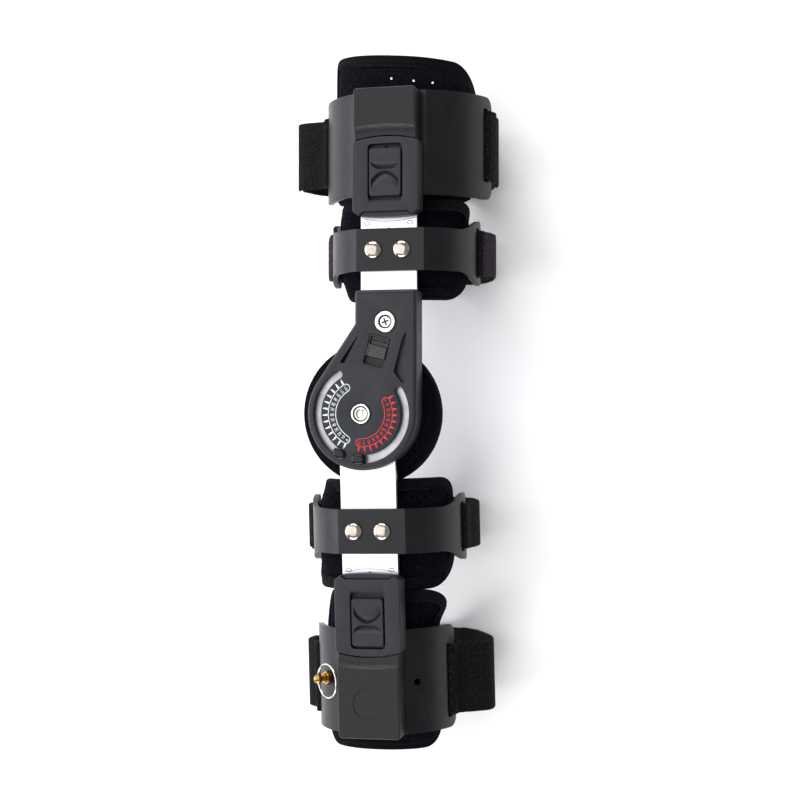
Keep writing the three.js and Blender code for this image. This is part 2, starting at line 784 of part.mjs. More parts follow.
function hingeCoverBody() {
  const sweep = new THREE.Shape();
  sweep.moveTo(0, 0);
  sweep.absarc(0, 0, 2 * dialRadius, skirtEnd * degrees, (360 + skirtStart) * degrees);
  const under = coverBase - 1;
  const barChannel = box(
    barWidth + 2 * gap, 2 * neckTop - upperBarStart, gap - under,
    upperBarAcross, neckTop, (gap + under) / 2,
  );
  const switchCut = box(switchWidth, switchLength, 2 * switchDepth, 0, switchAlong, coverFront)
    .rotateZ(-dialTurn * degrees);
  const slots = [
    arcSlot(slotRadius, slotWidth, extensionSlotStart, extensionSlotEnd),
    arcSlot(slotRadius, slotWidth, flexionSlotStart, flexionSlotEnd),
  ].map((outline) => slab(outline, gap, coverFront + 1, 0, 16));
  const screwSpot = { x: upperBarAcross, y: screwAlong };
  return toGeometry(cutFrom(slab(coverOutline(), coverBase, coverFront, coverEdge, 32), [
    slab(sweep, under, gap, 0, 8),
    barChannel,
    post(plateRadius + 2 * gap, under, coverFront - coverWall, 0, 0, 40),
    post(rivetStemRadius + gap, under, coverFront + 1, 0, 0, 24),
    post(rivetHeadRadius + gap, coverFront - headSink - gap, coverFront + 1, 0, 0, 24),
    post(screwStemRadius + gap, under, coverFront + 1, screwSpot.x, screwSpot.y, 24),
    post(screwHeadRadius + gap, coverFront - headSink - gap, coverFront + 1, screwSpot.x, screwSpot.y, 24),
    switchCut, ...slots, ...pockets.map(slopedPocket),
  ]));
}

// A flat head sunk in the cover and a stem down through the plates behind it.
function sunkHead(headRadius, stemRadius) {
  const seat = coverFront - headSink;
  const body = turned([
    { radius: 0, height: backPlateBack },
    { radius: stemRadius, height: backPlateBack },
    { radius: stemRadius, height: seat },
    { radius: headRadius, height: seat },
    { radius: headRadius, height: coverFront + 0.4 * headRise },
    { radius: 0.86 * headRadius, height: coverFront + headRise },
    { radius: 0, height: coverFront + headRise },
  ], 24);
  const recess = post(0.6 * headRadius, coverFront + 0.1, coverFront + 2, 0, 0, 20);
  return { body, recess };
}

function hingeScrewBody() {
  const { body, recess } = sunkHead(screwHeadRadius, screwStemRadius);
  const arms = [0, 90].map((turn) => (
    box(0.75 * screwHeadRadius, 1, 2, 0, 0, coverFront).rotateZ(turn * degrees)
  ));
  return toGeometry(cutFrom(body, [recess, ...arms])).translate(upperBarAcross, screwAlong, 0);
}

function hingeRivetBody() {
  const { body, recess } = sunkHead(rivetHeadRadius, rivetStemRadius);
  return toGeometry(cutFrom(body, [recess]));
}

function backPlateBody() {
  return toGeometry(cutFrom(slab(coverOutline(), backPlateBack, backPlateFront, 0, 30), [
    post(rivetStemRadius + gap, backPlateBack - 1, backPlateFront + 1, 0, 0, 24),
    post(screwStemRadius + gap, backPlateBack - 1, backPlateFront + 1, upperBarAcross, screwAlong, 24),
  ]));
}

// The round pad, thicker in the middle than at its bound rim.
function hingePadBody() {
  const front = backPlateBack - gap;
  const back = front - hingePadThickness;
  const rim = 0.42 * hingePadThickness;
  const inner = hingePadRadius - rim;
  return turned([
    { radius: 0, height: back },
    { radius: inner, height: back + 1 },
    { radius: inner + 0.8 * rim, height: back + 1 + 0.3 * rim },
    { radius: hingePadRadius, height: back + 1 + rim },
    { radius: inner + 0.8 * rim, height: back + 1 + 1.7 * rim },
    { radius: inner, height: front },
    { radius: 0, height: front },
  ], 30);
}

function quickLockBody() {
  const low = coverFront - switchDepth + gap;
  const width = switchWidth - 2 * gap;
  const high = coverFront + switchRise;
  const base = box(width, switchSliderLength, high - low, 0, 0, (low + high) / 2);
  const pitch = switchSliderLength / (switchRibs + 1);
  const grooves = Array.from({ length: switchRibs }, (_, i) => (
    box(width + 1, 0.9, 2.4, 0, pitch * (i + 1) - switchSliderLength / 2, high)
  ));
  return toGeometry(cutFrom(base, grooves));
}

// An oval button over the slot on a short curved stem that rests on the plate below.
function stopBody() {
  const from = dialPlateTop + gap;
  const seat = coverFront + gap;
  const stemAngle = stopStemLength / slotRadius / degrees;
  const stem = slab(arcSlot(slotRadius, slotWidth - 2 * gap, -stemAngle / 2, stemAngle / 2), from, seat + 0.4);
  const cap = new THREE.CylinderGeometry(0.4 * stopWidth, stopWidth / 2, stopRise, 16)
    .rotateX(Math.PI / 2)
    .scale(1, stopLength / stopWidth, 1)
    .translate(slotRadius, 0, seat + stopRise / 2);
  return toGeometry(toSolid(stem).add(toSolid(cap)));
}

const parts = new THREE.Group();

function addMesh(group, name, geometry, colour, x = 0, y = 0, z = 0) {
  const mesh = new THREE.Mesh(geometry, new THREE.MeshStandardMaterial(bodyColours[colour]));
  mesh.name = name;
  mesh.position.set(x, y, z);
  group.add(mesh);
  return mesh;
}

function addRivets(group, prefix, across, loop) {
  rivetPlaces(across, loop).forEach(({ x, y }, index) => {
    addMesh(group, `${prefix}_rivet_${index ? 'right' : 'left'}`, bandRivet(), 'nickel', x, y);
  });
}

function bandCuff(across, loop) {
  return cuffShape(
    across + loop.centreOffset, loop.halfSpan, bandWall, bandPlateHalf, bandPlateMiddle, loop.endAngle,
  );
}

function shellCuff(across, loop) {
  return cuffShape(
    across + loop.centreOffset, loop.halfSpan, shellWall, shellPlateHalf, shellPlateMiddle, loop.endAngle,
  );
}

function addShell(group, prefix, across, doubledSide, extraCuts) {
  const loop = loops[`${prefix}Wide`];
  const shell = shells[prefix];
  const cuff = shellCuff(across, loop);
  addMesh(group, `${prefix}_shell`, shellBody(cuff, loop, shell, across, extraCuts), 'wing');
  addMesh(group, `${prefix}_lock_cover`, lockCoverBody(shell, across), 'charcoal');
  const plateBack = cuff.plateMiddle - cuff.wall / 2;
  addMesh(group, `${prefix}_shell_pad`, padBody(cuff, pads[`${prefix}Wide`], plateBack), 'pad');
  addMesh(group, `${prefix}_shell_strap`, strapBody(cuff, loop, doubledSide), 'strap');
  const sliderStart = shell.coverStart + shell.windowFromEnd + shell.sliderFromWindow;
  addMesh(group, `${prefix}_lock_slider`, lockSliderBody(), 'charcoal', across, sliderStart);
}

function addBand(group, prefix, across, doubledSide, behind, lowEdge) {
  const loop = loops[`${prefix}Narrow`];
  const cuff = bandCuff(across, loop);
  addMesh(group, `${prefix}_band`, bandBody(cuff, loop, across), 'wing');
  addRivets(group, prefix, across, loop);
  addMesh(group, `${prefix}_band_pad`, padBody(cuff, pads[`${prefix}Narrow`], behind, lowEdge), 'pad');
  addMesh(group, `${prefix}_band_strap`, strapBody(cuff, loop, doubledSide), 'strap');
}

// Upper arm frame
function addUpperArm() {
  const frame = new THREE.Group();
  const bar = slab(roundedRectangle(
    upperBarAcross - barHalf, upperBarAcross + barHalf, upperBarStart, upperBarEnd, 1,
  ), -barThickness, 0);
  const screwHole = post(screwStemRadius + gap, -2 * barThickness, barThickness, upperBarAcross, screwAlong, 16);
  addMesh(frame, 'upper_bar', toGeometry(cutFrom(bar, [
    screwHole,
    ...rivetHoles(upperBarAcross, loops.upperNarrow),
    ...barHoles(upperLockHoleStart, upperBarEnd, upperBarAcross),
  ])), 'aluminium');
  addMesh(frame, 'hinge_cover', hingeCoverBody(), 'charcoal');
  addMesh(frame, 'hinge_back_plate', backPlateBody(), 'charcoal');
  addMesh(frame, 'hinge_screw', hingeScrewBody(), 'nickel');
  addMesh(frame, 'hinge_rivet', hingeRivetBody(), 'nickel');
  addMesh(frame, 'hinge_pad', hingePadBody(), 'pad');
  addBand(frame, 'upper', upperBarAcross, 1, backPlateBack);
  addShell(frame, 'upper', upperBarAcross, 0, []);
  parts.add(frame);
}

// The dial's switch and its two stops
function addDial() {
  const dial = new THREE.Group();
  dial.rotation.z = -dialTurn * degrees;
  const top = switchAlong + switchLength / 2 - gap;
  addMesh(dial, 'quick_lock_slider', quickLockBody(), 'charcoal', 0, top - switchSliderLength / 2);
  parts.add(dial);
  const stops = [['extension_stop', extensionStopAngle], ['flexion_stop', flexionStopAngle]];
  for (const [name, angle] of stops) {
    addMesh(parts, name, stopBody(), 'charcoal').rotation.z = angle * degrees;
  }
}

// The bar of the forearm with the round plate that turns under the dial
function lowerBarBody() {
  const bar = slab(roundedRectangle(
    lowerBarAcross - barHalf, lowerBarAcross + barHalf, 0, lowerBarEnd, 1,
  ), -barThickness, 0);
  const plate = post(plateRadius, -barThickness, dialPlateTop, 0, 0, 40);
  const cuts = [
    post(rivetStemRadius + gap, -2 * barThickness, 2 * coverFront, 0, 0, 24),
    ...rivetHoles(lowerBarAcross, loops.lowerNarrow),
    ...barHoles(lowerLockHoleStart, lowerBarEnd, lowerBarAcross),
  ];
  const joined = toSolid(bar).add(toSolid(plate));
  return toGeometry(cuts.reduce((solid, tool) => solid.subtract(toSolid(tool)), joined));
}

// The sprung plunger on the wing, with a ring through its head
function addPlunger(group, cuff) {
  const angle = plungerAngle * degrees;
  const seat = cuff.wall / 2 + gap;
  const place = onCuff(cuff, angle, plungerAlong, seat);
  const sleeveParts = [
    post(nutRadius, 0, nutHeight, 0, 0, 6),
    post(plungerCollarRadius, nutHeight - 0.5, nutHeight + plungerCollarHeight, 0, 0, 20),
  ].map(toSolid);
  const bore = post(plungerStemRadius + gap, -1, 2 * plungerHeadHeight, 0, 0, 16);
  const sleeve = toGeometry(sleeveParts[0].add(sleeveParts[1]).subtract(toSolid(bore)));
  addMesh(group, 'plunger_sleeve', sleeve.applyMatrix4(place), 'brass');
  const stem = post(plungerStemRadius, -cuff.wall, plungerHeadHeight - 1, 0, 0, 16);
  const head = new THREE.SphereGeometry(plungerHeadRadius, 16, 8).translate(0, 0, plungerHeadHeight);
  const hole = new THREE.CylinderGeometry(ringHoleRadius, ringHoleRadius, 4 * plungerHeadRadius, 16)
    .translate(0, 0, plungerHeadHeight);
  const pin = toGeometry(toSolid(stem).add(toSolid(head)).subtract(toSolid(hole)));
  addMesh(group, 'plunger_pin', pin.applyMatrix4(place), 'brass');
  const centre = new THREE.Vector3(0, 0, plungerHeadHeight).applyMatrix4(place);
  const bossSide = lowerBarAcross + bossHalf + gap + ringWire;
  const rise = Math.acos((centre.x - bossSide) / (2 * ringRadius));
  const ring = new THREE.TorusGeometry(ringRadius, ringWire, 6, 32).translate(-ringRadius, 0, 0);
  ring.rotateY(rise);
  addMesh(group, 'pull_ring', ring.translate(centre.x, centre.y, centre.z), 'steel');
}

// Forearm frame, turned end for end about the hinge axis
function addForearm() {
  const frame = new THREE.Group();
  frame.rotation.z = (180 + lowerTilt) * degrees;
  addMesh(frame, 'lower_bar', lowerBarBody(), 'aluminium');
  const clearOfHinge = hingePadRadius + 1.5;
  const followHinge = (x) => Math.max(
    pads.lowerNarrow.low,
    Math.sqrt(Math.max(clearOfHinge * clearOfHinge - x * x, 0)),
  );
  addBand(frame, 'lower', lowerBarAcross, -1, -barThickness, followHinge);
  const cuff = shellCuff(lowerBarAcross, loops.lowerWide);
  const holeAt = (angle, along, radius) => post(radius, -2 * cuff.wall, 2 * cuff.wall, 0, 0, 16)
    .applyMatrix4(onCuff(cuff, angle * degrees, along));
  addShell(frame, 'lower', lowerBarAcross, -1, [
    holeAt(plungerAngle, plungerAlong, plungerStemRadius + gap),
    holeAt(wingHoleAngle, wingHoleAlong, wingHoleRadius),
    post(discRadius, bossFront - discDepth, bossFront + 1, lowerBarAcross, discAlong, 32),
  ]);
  addPlunger(frame, cuff);
  parts.add(frame);
}

addUpperArm();
addDial();
addForearm();

// The brace stands on the floor with the middle of its outline over the origin.
const brace = new THREE.Group();
parts.updateMatrixWorld(true);
const bounds = new THREE.Box3().setFromObject(parts, true);
parts.position.set(
  -(bounds.min.x + bounds.max.x) / 2,
  -(bounds.min.y + bounds.max.y) / 2,
  -bounds.min.z,
);
brace.add(parts);

export default brace;
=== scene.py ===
import math

import bmesh
import bpy
import numpy as np
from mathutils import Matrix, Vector


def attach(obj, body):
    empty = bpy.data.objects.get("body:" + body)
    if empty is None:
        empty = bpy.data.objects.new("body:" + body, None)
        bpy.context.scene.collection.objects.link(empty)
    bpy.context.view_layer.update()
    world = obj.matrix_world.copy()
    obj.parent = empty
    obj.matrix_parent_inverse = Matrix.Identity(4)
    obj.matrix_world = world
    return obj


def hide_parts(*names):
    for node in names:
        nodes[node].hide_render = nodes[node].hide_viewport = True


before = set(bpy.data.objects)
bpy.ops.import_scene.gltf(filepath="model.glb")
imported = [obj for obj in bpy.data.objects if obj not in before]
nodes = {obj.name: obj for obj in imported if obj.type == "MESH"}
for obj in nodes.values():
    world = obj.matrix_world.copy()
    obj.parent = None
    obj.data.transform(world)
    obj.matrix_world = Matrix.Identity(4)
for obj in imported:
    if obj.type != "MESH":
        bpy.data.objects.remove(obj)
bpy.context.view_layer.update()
print("frame loaded with", len(nodes), "nodes")

# Everything is worked out in millimetres about the hinge axis, the bars' fronts at height 0.
# The forearm's pieces run away from the elbow and are turned end for end about the hinge.
hingeAt = np.array([-4.689, -6.419, 92.0])
armTurn = {"upper": 0.0, "lower": 181.5}
barAcross = {"upper": 13.5, "lower": -1.0}
floorDepth = 92.0
# the photograph's camera in the same millimetres, which the holes punched in a pad slant to
eyeAt = np.array([226.8, 7.4, 772.7])


# ---- meshes and modifiers

def gridFaces(rows, columns, closedRows=False, closedColumns=False):
    # one quad between each four neighbouring points of a grid of rows x columns
    index = np.arange(rows * columns).reshape(rows, columns)
    if closedRows:
        index = np.vstack([index, index[:1]])
    if closedColumns:
        index = np.hstack([index, index[:, :1]])
    quads = np.stack([index[:-1, :-1], index[1:, :-1], index[1:, 1:], index[:-1, 1:]], axis=-1)
    return quads.reshape(-1, 4)


def cappedFaces(rows, columns):
    # rings of a closed section joined in a row, with a flat face over each end
    faces = gridFaces(rows, columns, closedColumns=True).tolist()
    return faces + [list(range(columns))[::-1], list(range((rows - 1) * columns, rows * columns))]


def unitAlong(line, closed=False):
    # unit steps along a line of points, over its end too where it is closed
    steps = np.roll(line, -1, axis=0) - np.roll(line, 1, axis=0) if closed else np.gradient(line, axis=0)
    return steps / np.linalg.norm(steps, axis=1)[:, None]


def lengthAlong(line):
    # each point's distance from the line's start
    return np.concatenate([[0], np.cumsum(np.linalg.norm(np.diff(line, axis=0), axis=1))])


def pointsAt(distance, length, line):
    # the line's points at the given distances along it
    return np.stack([np.interp(distance, length, line[:, k]) for k in range(line.shape[1])], axis=-1)


def inModel(points, turn):
    # points about the hinge in mm, turned about its axis, then in the model's metres
    c, s = math.cos(math.radians(turn)), math.sin(math.radians(turn))
    x, y, z = np.asarray(points, float).reshape(-1, 3).T
    return (np.column_stack([x * c - y * s, x * s + y * c, z]) + hingeAt) / 1000


def addObject(name, data):
    holder = bpy.data.objects.new(name, data)
    bpy.context.scene.collection.objects.link(holder)
    return holder


def readPoints(mesh):
    flat = np.zeros(len(mesh.vertices) * 3)
    mesh.vertices.foreach_get("co", flat)
    return flat.reshape(-1, 3)


def writeCloth(mesh, place):
    # each point's place on the flat cloth in mm, which the fabrics' patterns follow
    corners = np.zeros(len(mesh.loops), np.int32)
    mesh.loops.foreach_get("vertex_index", corners)
    mesh.uv_layers.new(name="cloth").data.foreach_set("uv", place[corners].astype(np.float32).ravel())


def makePiece(name, points, faces, material, turn=0.0, uv=None, closed=True, sharp=32):
    mesh = bpy.data.meshes.new(name)
    mesh.from_pydata(inModel(points, turn).tolist(), [], [list(map(int, f)) for f in faces])
    if uv is not None:
        writeCloth(mesh, uv)
    if closed:
        turned = bmesh.new()
        turned.from_mesh(mesh)
        bmesh.ops.recalc_face_normals(turned, faces=turned.faces)
        turned.to_mesh(mesh)
        turned.free()
    piece = addObject(name, mesh)
    mesh.materials.append(material)
    roundShading(piece, sharp)
    return piece


def roundShading(piece, sharp):
    mesh = piece.data
    mesh.shade_smooth()
    mesh.set_sharp_from_angle(angle=math.radians(sharp))


def applyModifiers(piece):
    graph = bpy.context.evaluated_depsgraph_get()
    done = bpy.data.meshes.new_from_object(piece.evaluated_get(graph))
    old = piece.data
    piece.modifiers.clear()
    piece.data = done
    bpy.data.meshes.remove(old)
    return piece


def carve(piece, cutters, sharp=32):
    # takes the cutters out of the piece and removes them
    for cutter in cutters:
        modifier = piece.modifiers.new("carve", "BOOLEAN")
        modifier.operation = "DIFFERENCE"
        modifier.solver = "EXACT"
        modifier.object = cutter
    bpy.context.view_layer.update()
    applyModifiers(piece)
    for cutter in cutters:
        bpy.data.objects.remove(cutter)
    roundShading(piece, sharp)
    return piece


def thicken(piece, thickness, edge, segments=3, sharp=32):
    # a wall of even thickness round the surface, its edges rounded
    wall = piece.modifiers.new("wall", "SOLIDIFY")
    wall.thickness = thickness / 1000
    wall.offset = 0
    wall.use_even_offset = True
    rounded = piece.modifiers.new("edge", "BEVEL")
    rounded.width = edge / 1000
    rounded.segments = segments
    rounded.limit_method = "ANGLE"
    rounded.angle_limit = math.radians(18)
    bpy.context.view_layer.update()
    applyModifiers(piece)
    roundShading(piece, sharp)
    return piece


def offsetOutline(outline, inset):
    # each corner of a closed outline moves inwards along the line that halves its angle
    before = outline - np.roll(outline, 1, axis=0)
    after = np.roll(outline, -1, axis=0) - outline
    before /= np.linalg.norm(before, axis=1)[:, None]
    after /= np.linalg.norm(after, axis=1)[:, None]
    inwardBefore = np.column_stack([-before[:, 1], before[:, 0]])
    inwardAfter = np.column_stack([-after[:, 1], after[:, 0]])
    middle = inwardBefore + inwardAfter
    middle /= np.maximum((middle * inwardAfter).sum(1), 0.2)[:, None]
    return outline + middle * inset


def ringSolid(outline, rows):
    # rings of one outline, each with its inset and height, closed by a flat face at both ends
    rings = [np.column_stack([offsetOutline(outline, inset), np.full(len(outline), height)])
             for inset, height in rows]
    return np.vstack(rings), cappedFaces(len(rings), len(outline))


def roundedRows(low, high, edge, lowEdge=0.0, steps=4):
    # insets and heights of a slab whose upper edge, and lower edge if asked, is a quarter round
    quarter = np.linspace(0, math.pi / 2, steps + 1)
    rows = [(0.0, low)] if not lowEdge else [
        (lowEdge * (1 - math.sin(a)), low + lowEdge * (1 - math.cos(a))) for a in quarter]
    rows += [(edge * (1 - math.cos(a)), high - edge + edge * math.sin(a)) for a in quarter]
    return rows


def openRows(low, high, flare):
    # insets and heights of a cutter whose mouth widens in a quarter round
    quarter = np.linspace(0, math.pi / 2, 4)
    rows = [(0.0, low)]
    rows += [(-flare * (1 - math.cos(a)), high - flare + flare * math.sin(a)) for a in quarter]
    return rows + [(-flare, high + 2)]


def arcPoints(centreX, centreY, radius, start, end, steps):
    angle = np.radians(np.linspace(start, end, steps))
    return np.column_stack([centreX + radius * np.cos(angle), centreY + radius * np.sin(angle)])


def roundedBox(left, right, low, high, corner, steps=7):
    return np.vstack([
        arcPoints(right - corner, low + corner, corner, -90, 0, steps),
        arcPoints(right - corner, high - corner, corner, 0, 90, steps),
        arcPoints(left + corner, high - corner, corner, 90, 180, steps),
        arcPoints(left + corner, low + corner, corner, 180, 270, steps),
    ])


def arcSlot(radius, width, start, end, steps=70):
    # a slot with round ends that follows an arc about the hinge
    reach = math.degrees(width / 2 / radius)
    first, last = start + reach, end - reach
    tip = radius * np.array([math.cos(math.radians(last)), math.sin(math.radians(last))])
    root = radius * np.array([math.cos(math.radians(first)), math.sin(math.radians(first))])
    return np.vstack([
        arcPoints(0, 0, radius + width / 2, first, last, steps),
        arcPoints(*tip, width / 2, last, last + 180, 11)[1:-1],
        arcPoints(0, 0, radius - width / 2, last, first, steps),
        arcPoints(*root, width / 2, first + 180, first + 360, 11)[1:-1],
    ])


def cutterOf(outline, rows, turn=0.0):
    points, faces = ringSolid(outline, rows)
    return makePiece("cutter", points, faces, plainTool, turn)


def lathe(rows, sides=48):
    # a profile of radius and height turned about Z, its two ends closed on the axis
    rows = np.asarray(rows, float)
    angle = np.linspace(0, 2 * math.pi, sides, endpoint=False)
    radius, height = rows[:, 0][:, None], rows[:, 1][:, None]
    ring = np.stack([radius * np.cos(angle), radius * np.sin(angle), height + 0 * angle], axis=-1)
    points = np.vstack([ring.reshape(-1, 3), [[0, 0, rows[0, 1]], [0, 0, rows[-1, 1]]]])
    faces = [list(f) for f in gridFaces(len(rows), sides, closedColumns=True)]
    low, high, last = len(points) - 2, len(points) - 1, (len(rows) - 1) * sides
    faces += [[low, (k + 1) % sides, k] for k in range(sides)]
    faces += [[high, last + k, last + (k + 1) % sides] for k in range(sides)]
    return points, faces


def roundedProfile(rows, radius=0.25, steps=4):
    # a profile of straight rows with each inner corner turned into a small arc
    rows = np.asarray(rows, float)
    out = [rows[:1]]
    for before, corner, after in zip(rows[:-2], rows[1:-1], rows[2:]):
        a, b = before - corner, after - corner
        reach = min(radius, 0.45 * np.linalg.norm(a), 0.45 * np.linalg.norm(b))
        start, end = corner + a / np.linalg.norm(a) * reach, corner + b / np.linalg.norm(b) * reach
        t = np.linspace(0, 1, steps)[:, None]
        out.append((1 - t) ** 2 * start + 2 * t * (1 - t) * corner + t ** 2 * end)
    out.append(rows[-1:])
    return np.vstack(out)


def smoothStep(value):
    t = np.clip(value, 0, 1)
    return t * t * (3 - 2 * t)


def finishAs(piece, body, stands=()):
    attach(piece, body)
    if stands:
        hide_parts(*stands)
    return piece


# ---- materials

def toLinear(hexColour):
    parts = [int(hexColour[i:i + 2], 16) / 255 for i in (1, 3, 5)]
    return [p / 12.92 if p <= 0.04045 else ((p + 0.055) / 1.055) ** 2.4 for p in parts] + [1.0]


def addNode(tree, kind, settings=None, values=None, links=None):
    node = tree.nodes.new(kind)
    for key, value in (settings or {}).items():
        setattr(node, key, value)
    for key, value in (values or {}).items():
        node.inputs[key].default_value = value
    for key, source in (links or {}).items():
        tree.links.new(source, node.inputs[key])
    return node


def tones(look):
    return toLinear(look["dark"]), toLinear(look["light"])


def startMaterial(name, values):
    material = bpy.data.materials.new(name)
    material.use_nodes = True
    tree = material.node_tree
    shader = tree.nodes["Principled BSDF"]
    for key, value in values.items():
        shader.inputs[key].default_value = value
    return material, tree, shader


def mixColours(tree, factor, first, second):
    # each side is a colour or another node's output
    mix = addNode(tree, "ShaderNodeMix", {"data_type": "RGBA"}, None, {0: factor})
    for key, side in ((6, first), (7, second)):
        if isinstance(side, bpy.types.NodeSocket):
            tree.links.new(side, mix.inputs[key])
        else:
            mix.inputs[key].default_value = side
    return mix.outputs[2]


def addNoise(tree, place, scale, detail, roughness=0.5):
    return addNode(tree, "ShaderNodeTexNoise", None,
                   {"Scale": scale, "Detail": detail, "Roughness": roughness}, {"Vector": place}).outputs[0]


def mapRange(tree, value, low, high, toLow=0.0, toHigh=1.0):
    limits = {1: low, 2: high, 3: toLow, 4: toHigh}
    return addNode(tree, "ShaderNodeMapRange", None, limits, {0: value}).outputs[0]


def setBump(tree, shader, height, strength, distanceMm, below=None):
    # relief over the whole surface, or over the relief below
    bump = addNode(tree, "ShaderNodeBump", None, {"Strength": strength, "Distance": distanceMm / 1000},
                   {"Height": height, **({"Normal": below} if below else {})}).outputs[0]
    tree.links.new(bump, shader.inputs["Normal"])
    return bump


def addFlecks(tree, colour, place, scale, share, fleck):
    # scattered light flecks over a colour: the peaks of a fine noise above its share
    fine = addNoise(tree, place, scale, 2, 0.8)
    return mixColours(tree, mapRange(tree, fine, 0.66 - share, 0.8 - share), colour, toLinear(fleck))


def mouldedPlastic(name, look):
    # ABS from a spark-eroded mould: an even, slightly mottled skin with a soft wide highlight.
    # The grain is 0.3 mm on the real one and drawn three times as coarse so that it shows.
    material, tree, shader = startMaterial(name, {
        "Roughness": look["roughness"], "IOR": 1.52, "Specular IOR Level": look["shine"]})
    place = addNode(tree, "ShaderNodeTexCoord").outputs["Object"]
    cloud = addNoise(tree, place, 1000 / look["mottleMm"], 5, 0.65)
    colour = mixColours(tree, mapRange(tree, cloud, 0.35, 0.68), *tones(look))
    if look.get("fleck"):
        colour = addFlecks(tree, colour, place, 900, 0.03, look["fleck"])
    tree.links.new(colour, shader.inputs["Base Color"])
    rough = mapRange(tree, cloud, 0.3, 0.7, look["roughness"] - 0.06, look["roughness"] + 0.08)
    tree.links.new(rough, shader.inputs["Roughness"])
    grain = addNoise(tree, place, 1000 / look["grainMm"], 3, 0.6)
    bump = setBump(tree, shader, grain, look["bump"], 0.2)
    if look.get("scratches"):
        # fine rubbed lines along the wing, a quarter of a millimetre wide
        stretched = addNode(tree, "ShaderNodeMapping", None, {"Scale": (220, 2600, 220)}, {0: place})
        lines = addNoise(tree, stretched.outputs[0], 1.0, 2)
        setBump(tree, shader, mapRange(tree, lines, 0.62, 0.7), look["scratches"], 0.1, bump)
    return material


def platedMetal(name, look):
    # metal keeps Blender's own index; its tint, polish and faint cloudiness tell it apart
    material, tree, shader = startMaterial(name, {"Metallic": 1.0, "Roughness": look["roughness"]})
    place = addNode(tree, "ShaderNodeTexCoord").outputs["Object"]
    drawn = addNode(tree, "ShaderNodeMapping", None, {"Scale": look.get("stretch", (1, 1, 1))}, {0: place})
    cloud = addNoise(tree, drawn.outputs[0], 1000 / look["cloudMm"], 4)
    colour = mixColours(tree, cloud, *tones(look))
    if look.get("slotShade"):
        # within 28 mm of the hinge axis the bars' plate, seen down the dial's slots, is painted grey as the
        # shade the slot walls cast
        away = addNode(tree, "ShaderNodeVectorMath", {"operation": "DISTANCE"},
                       {1: (hingeAt / 1000).tolist()}, {0: place}).outputs["Value"]
        slotShadeTone = mixColours(tree, addNoise(tree, place, 120, 3), *map(toLinear, look["slotShade"]))
        colour = mixColours(tree, mapRange(tree, away, 0.0295, 0.027), colour, slotShadeTone)
    tree.links.new(colour, shader.inputs["Base Color"])
    rough = mapRange(tree, cloud, 0.3, 0.7, look["roughness"] - look["vary"], look["roughness"] + look["vary"])
    tree.links.new(rough, shader.inputs["Roughness"])
    setBump(tree, shader, cloud, look["bump"], 0.1)
    return material


def velour(name, look):
    # brushed nylon velour over foam: black, with a soft bloom at grazing angles, short nap
    # and punched holes 1.2 mm wide in staggered rows 6.5 mm apart
    material, tree, shader = startMaterial(name, {
        "Roughness": 0.95, "IOR": 1.45, "Specular IOR Level": 0.05,
        "Sheen Weight": look["sheen"], "Sheen Roughness": 0.45, "Sheen Tint": toLinear(look["bloom"])})
    cloth = addNode(tree, "ShaderNodeUVMap", {"uv_map": "cloth"}).outputs[0]
    nap = addNoise(tree, cloth, 1 / look["napMm"], 4, 0.7)
    tone = mixColours(tree, addNoise(tree, cloth, 1 / 9, 3), *tones(look))
    rows = addNode(tree, "ShaderNodeMapping", None,
                   {"Rotation": (0, 0, math.radians(45)), "Scale": (1 / 4.6, 1 / 4.6, 1)}, {0: cloth})
    dots = addNode(tree, "ShaderNodeTexVoronoi", {"voronoi_dimensions": "2D"},
                   {"Scale": 1.0, "Randomness": 0.0}, {"Vector": rows.outputs[0]})
    # the punched holes are painted near black as the shade inside them, and sunk by the bump
    hole = mapRange(tree, dots.outputs["Distance"], 0.10, 0.17, 1, 0)
    flecked = addFlecks(tree, tone, cloth, 1.1, 0.06, look["fleck"])
    tree.links.new(mixColours(tree, hole, flecked, toLinear("#020203")), shader.inputs["Base Color"])
    sunk = addNode(tree, "ShaderNodeMath", {"operation": "MULTIPLY_ADD"}, {1: -2.0}, {0: hole, 2: nap})
    setBump(tree, shader, sunk.outputs[0], 0.7, 0.4)
    return material


def wovenTape(name, look):
    # woven tape: ribs across its length at the thread's pitch, matt with a faint bloom
    material, tree, shader = startMaterial(name, {
        "Roughness": 0.85, "IOR": 1.5, "Specular IOR Level": 0.08,
        "Sheen Weight": look["sheen"], "Sheen Roughness": 0.4, "Sheen Tint": toLinear(look["bloom"])})
    cloth = addNode(tree, "ShaderNodeUVMap", {"uv_map": "cloth"}).outputs[0]
    ribs = addNode(tree, "ShaderNodeTexWave", {"bands_direction": "X", "wave_profile": "SIN"},
                   {"Scale": 0.314 / look["ribMm"], "Distortion": look["wander"], "Detail": 2,
                    "Detail Scale": 3.0}, {"Vector": cloth})
    fuzz = addNoise(tree, cloth, 1 / look["fuzzMm"], 5, 0.75)
    body = mixColours(tree, fuzz, *tones(look))
    flecked = addFlecks(tree, body, cloth, 1.25, look["fleckShare"], look["fleck"])
    worn = mapRange(tree, addNoise(tree, cloth, 1 / 14, 3), 0.5, 0.75, 0, look["wornShare"])
    tree.links.new(mixColours(tree, worn, flecked, toLinear(look["worn"])), shader.inputs["Base Color"])
    height = addNode(tree, "ShaderNodeMath", {"operation": "MULTIPLY_ADD"}, {1: look["ribShare"]},
                     {0: ribs.outputs[0], 2: fuzz})
    setBump(tree, shader, height.outputs[0], look["bump"], 0.4)
    return material


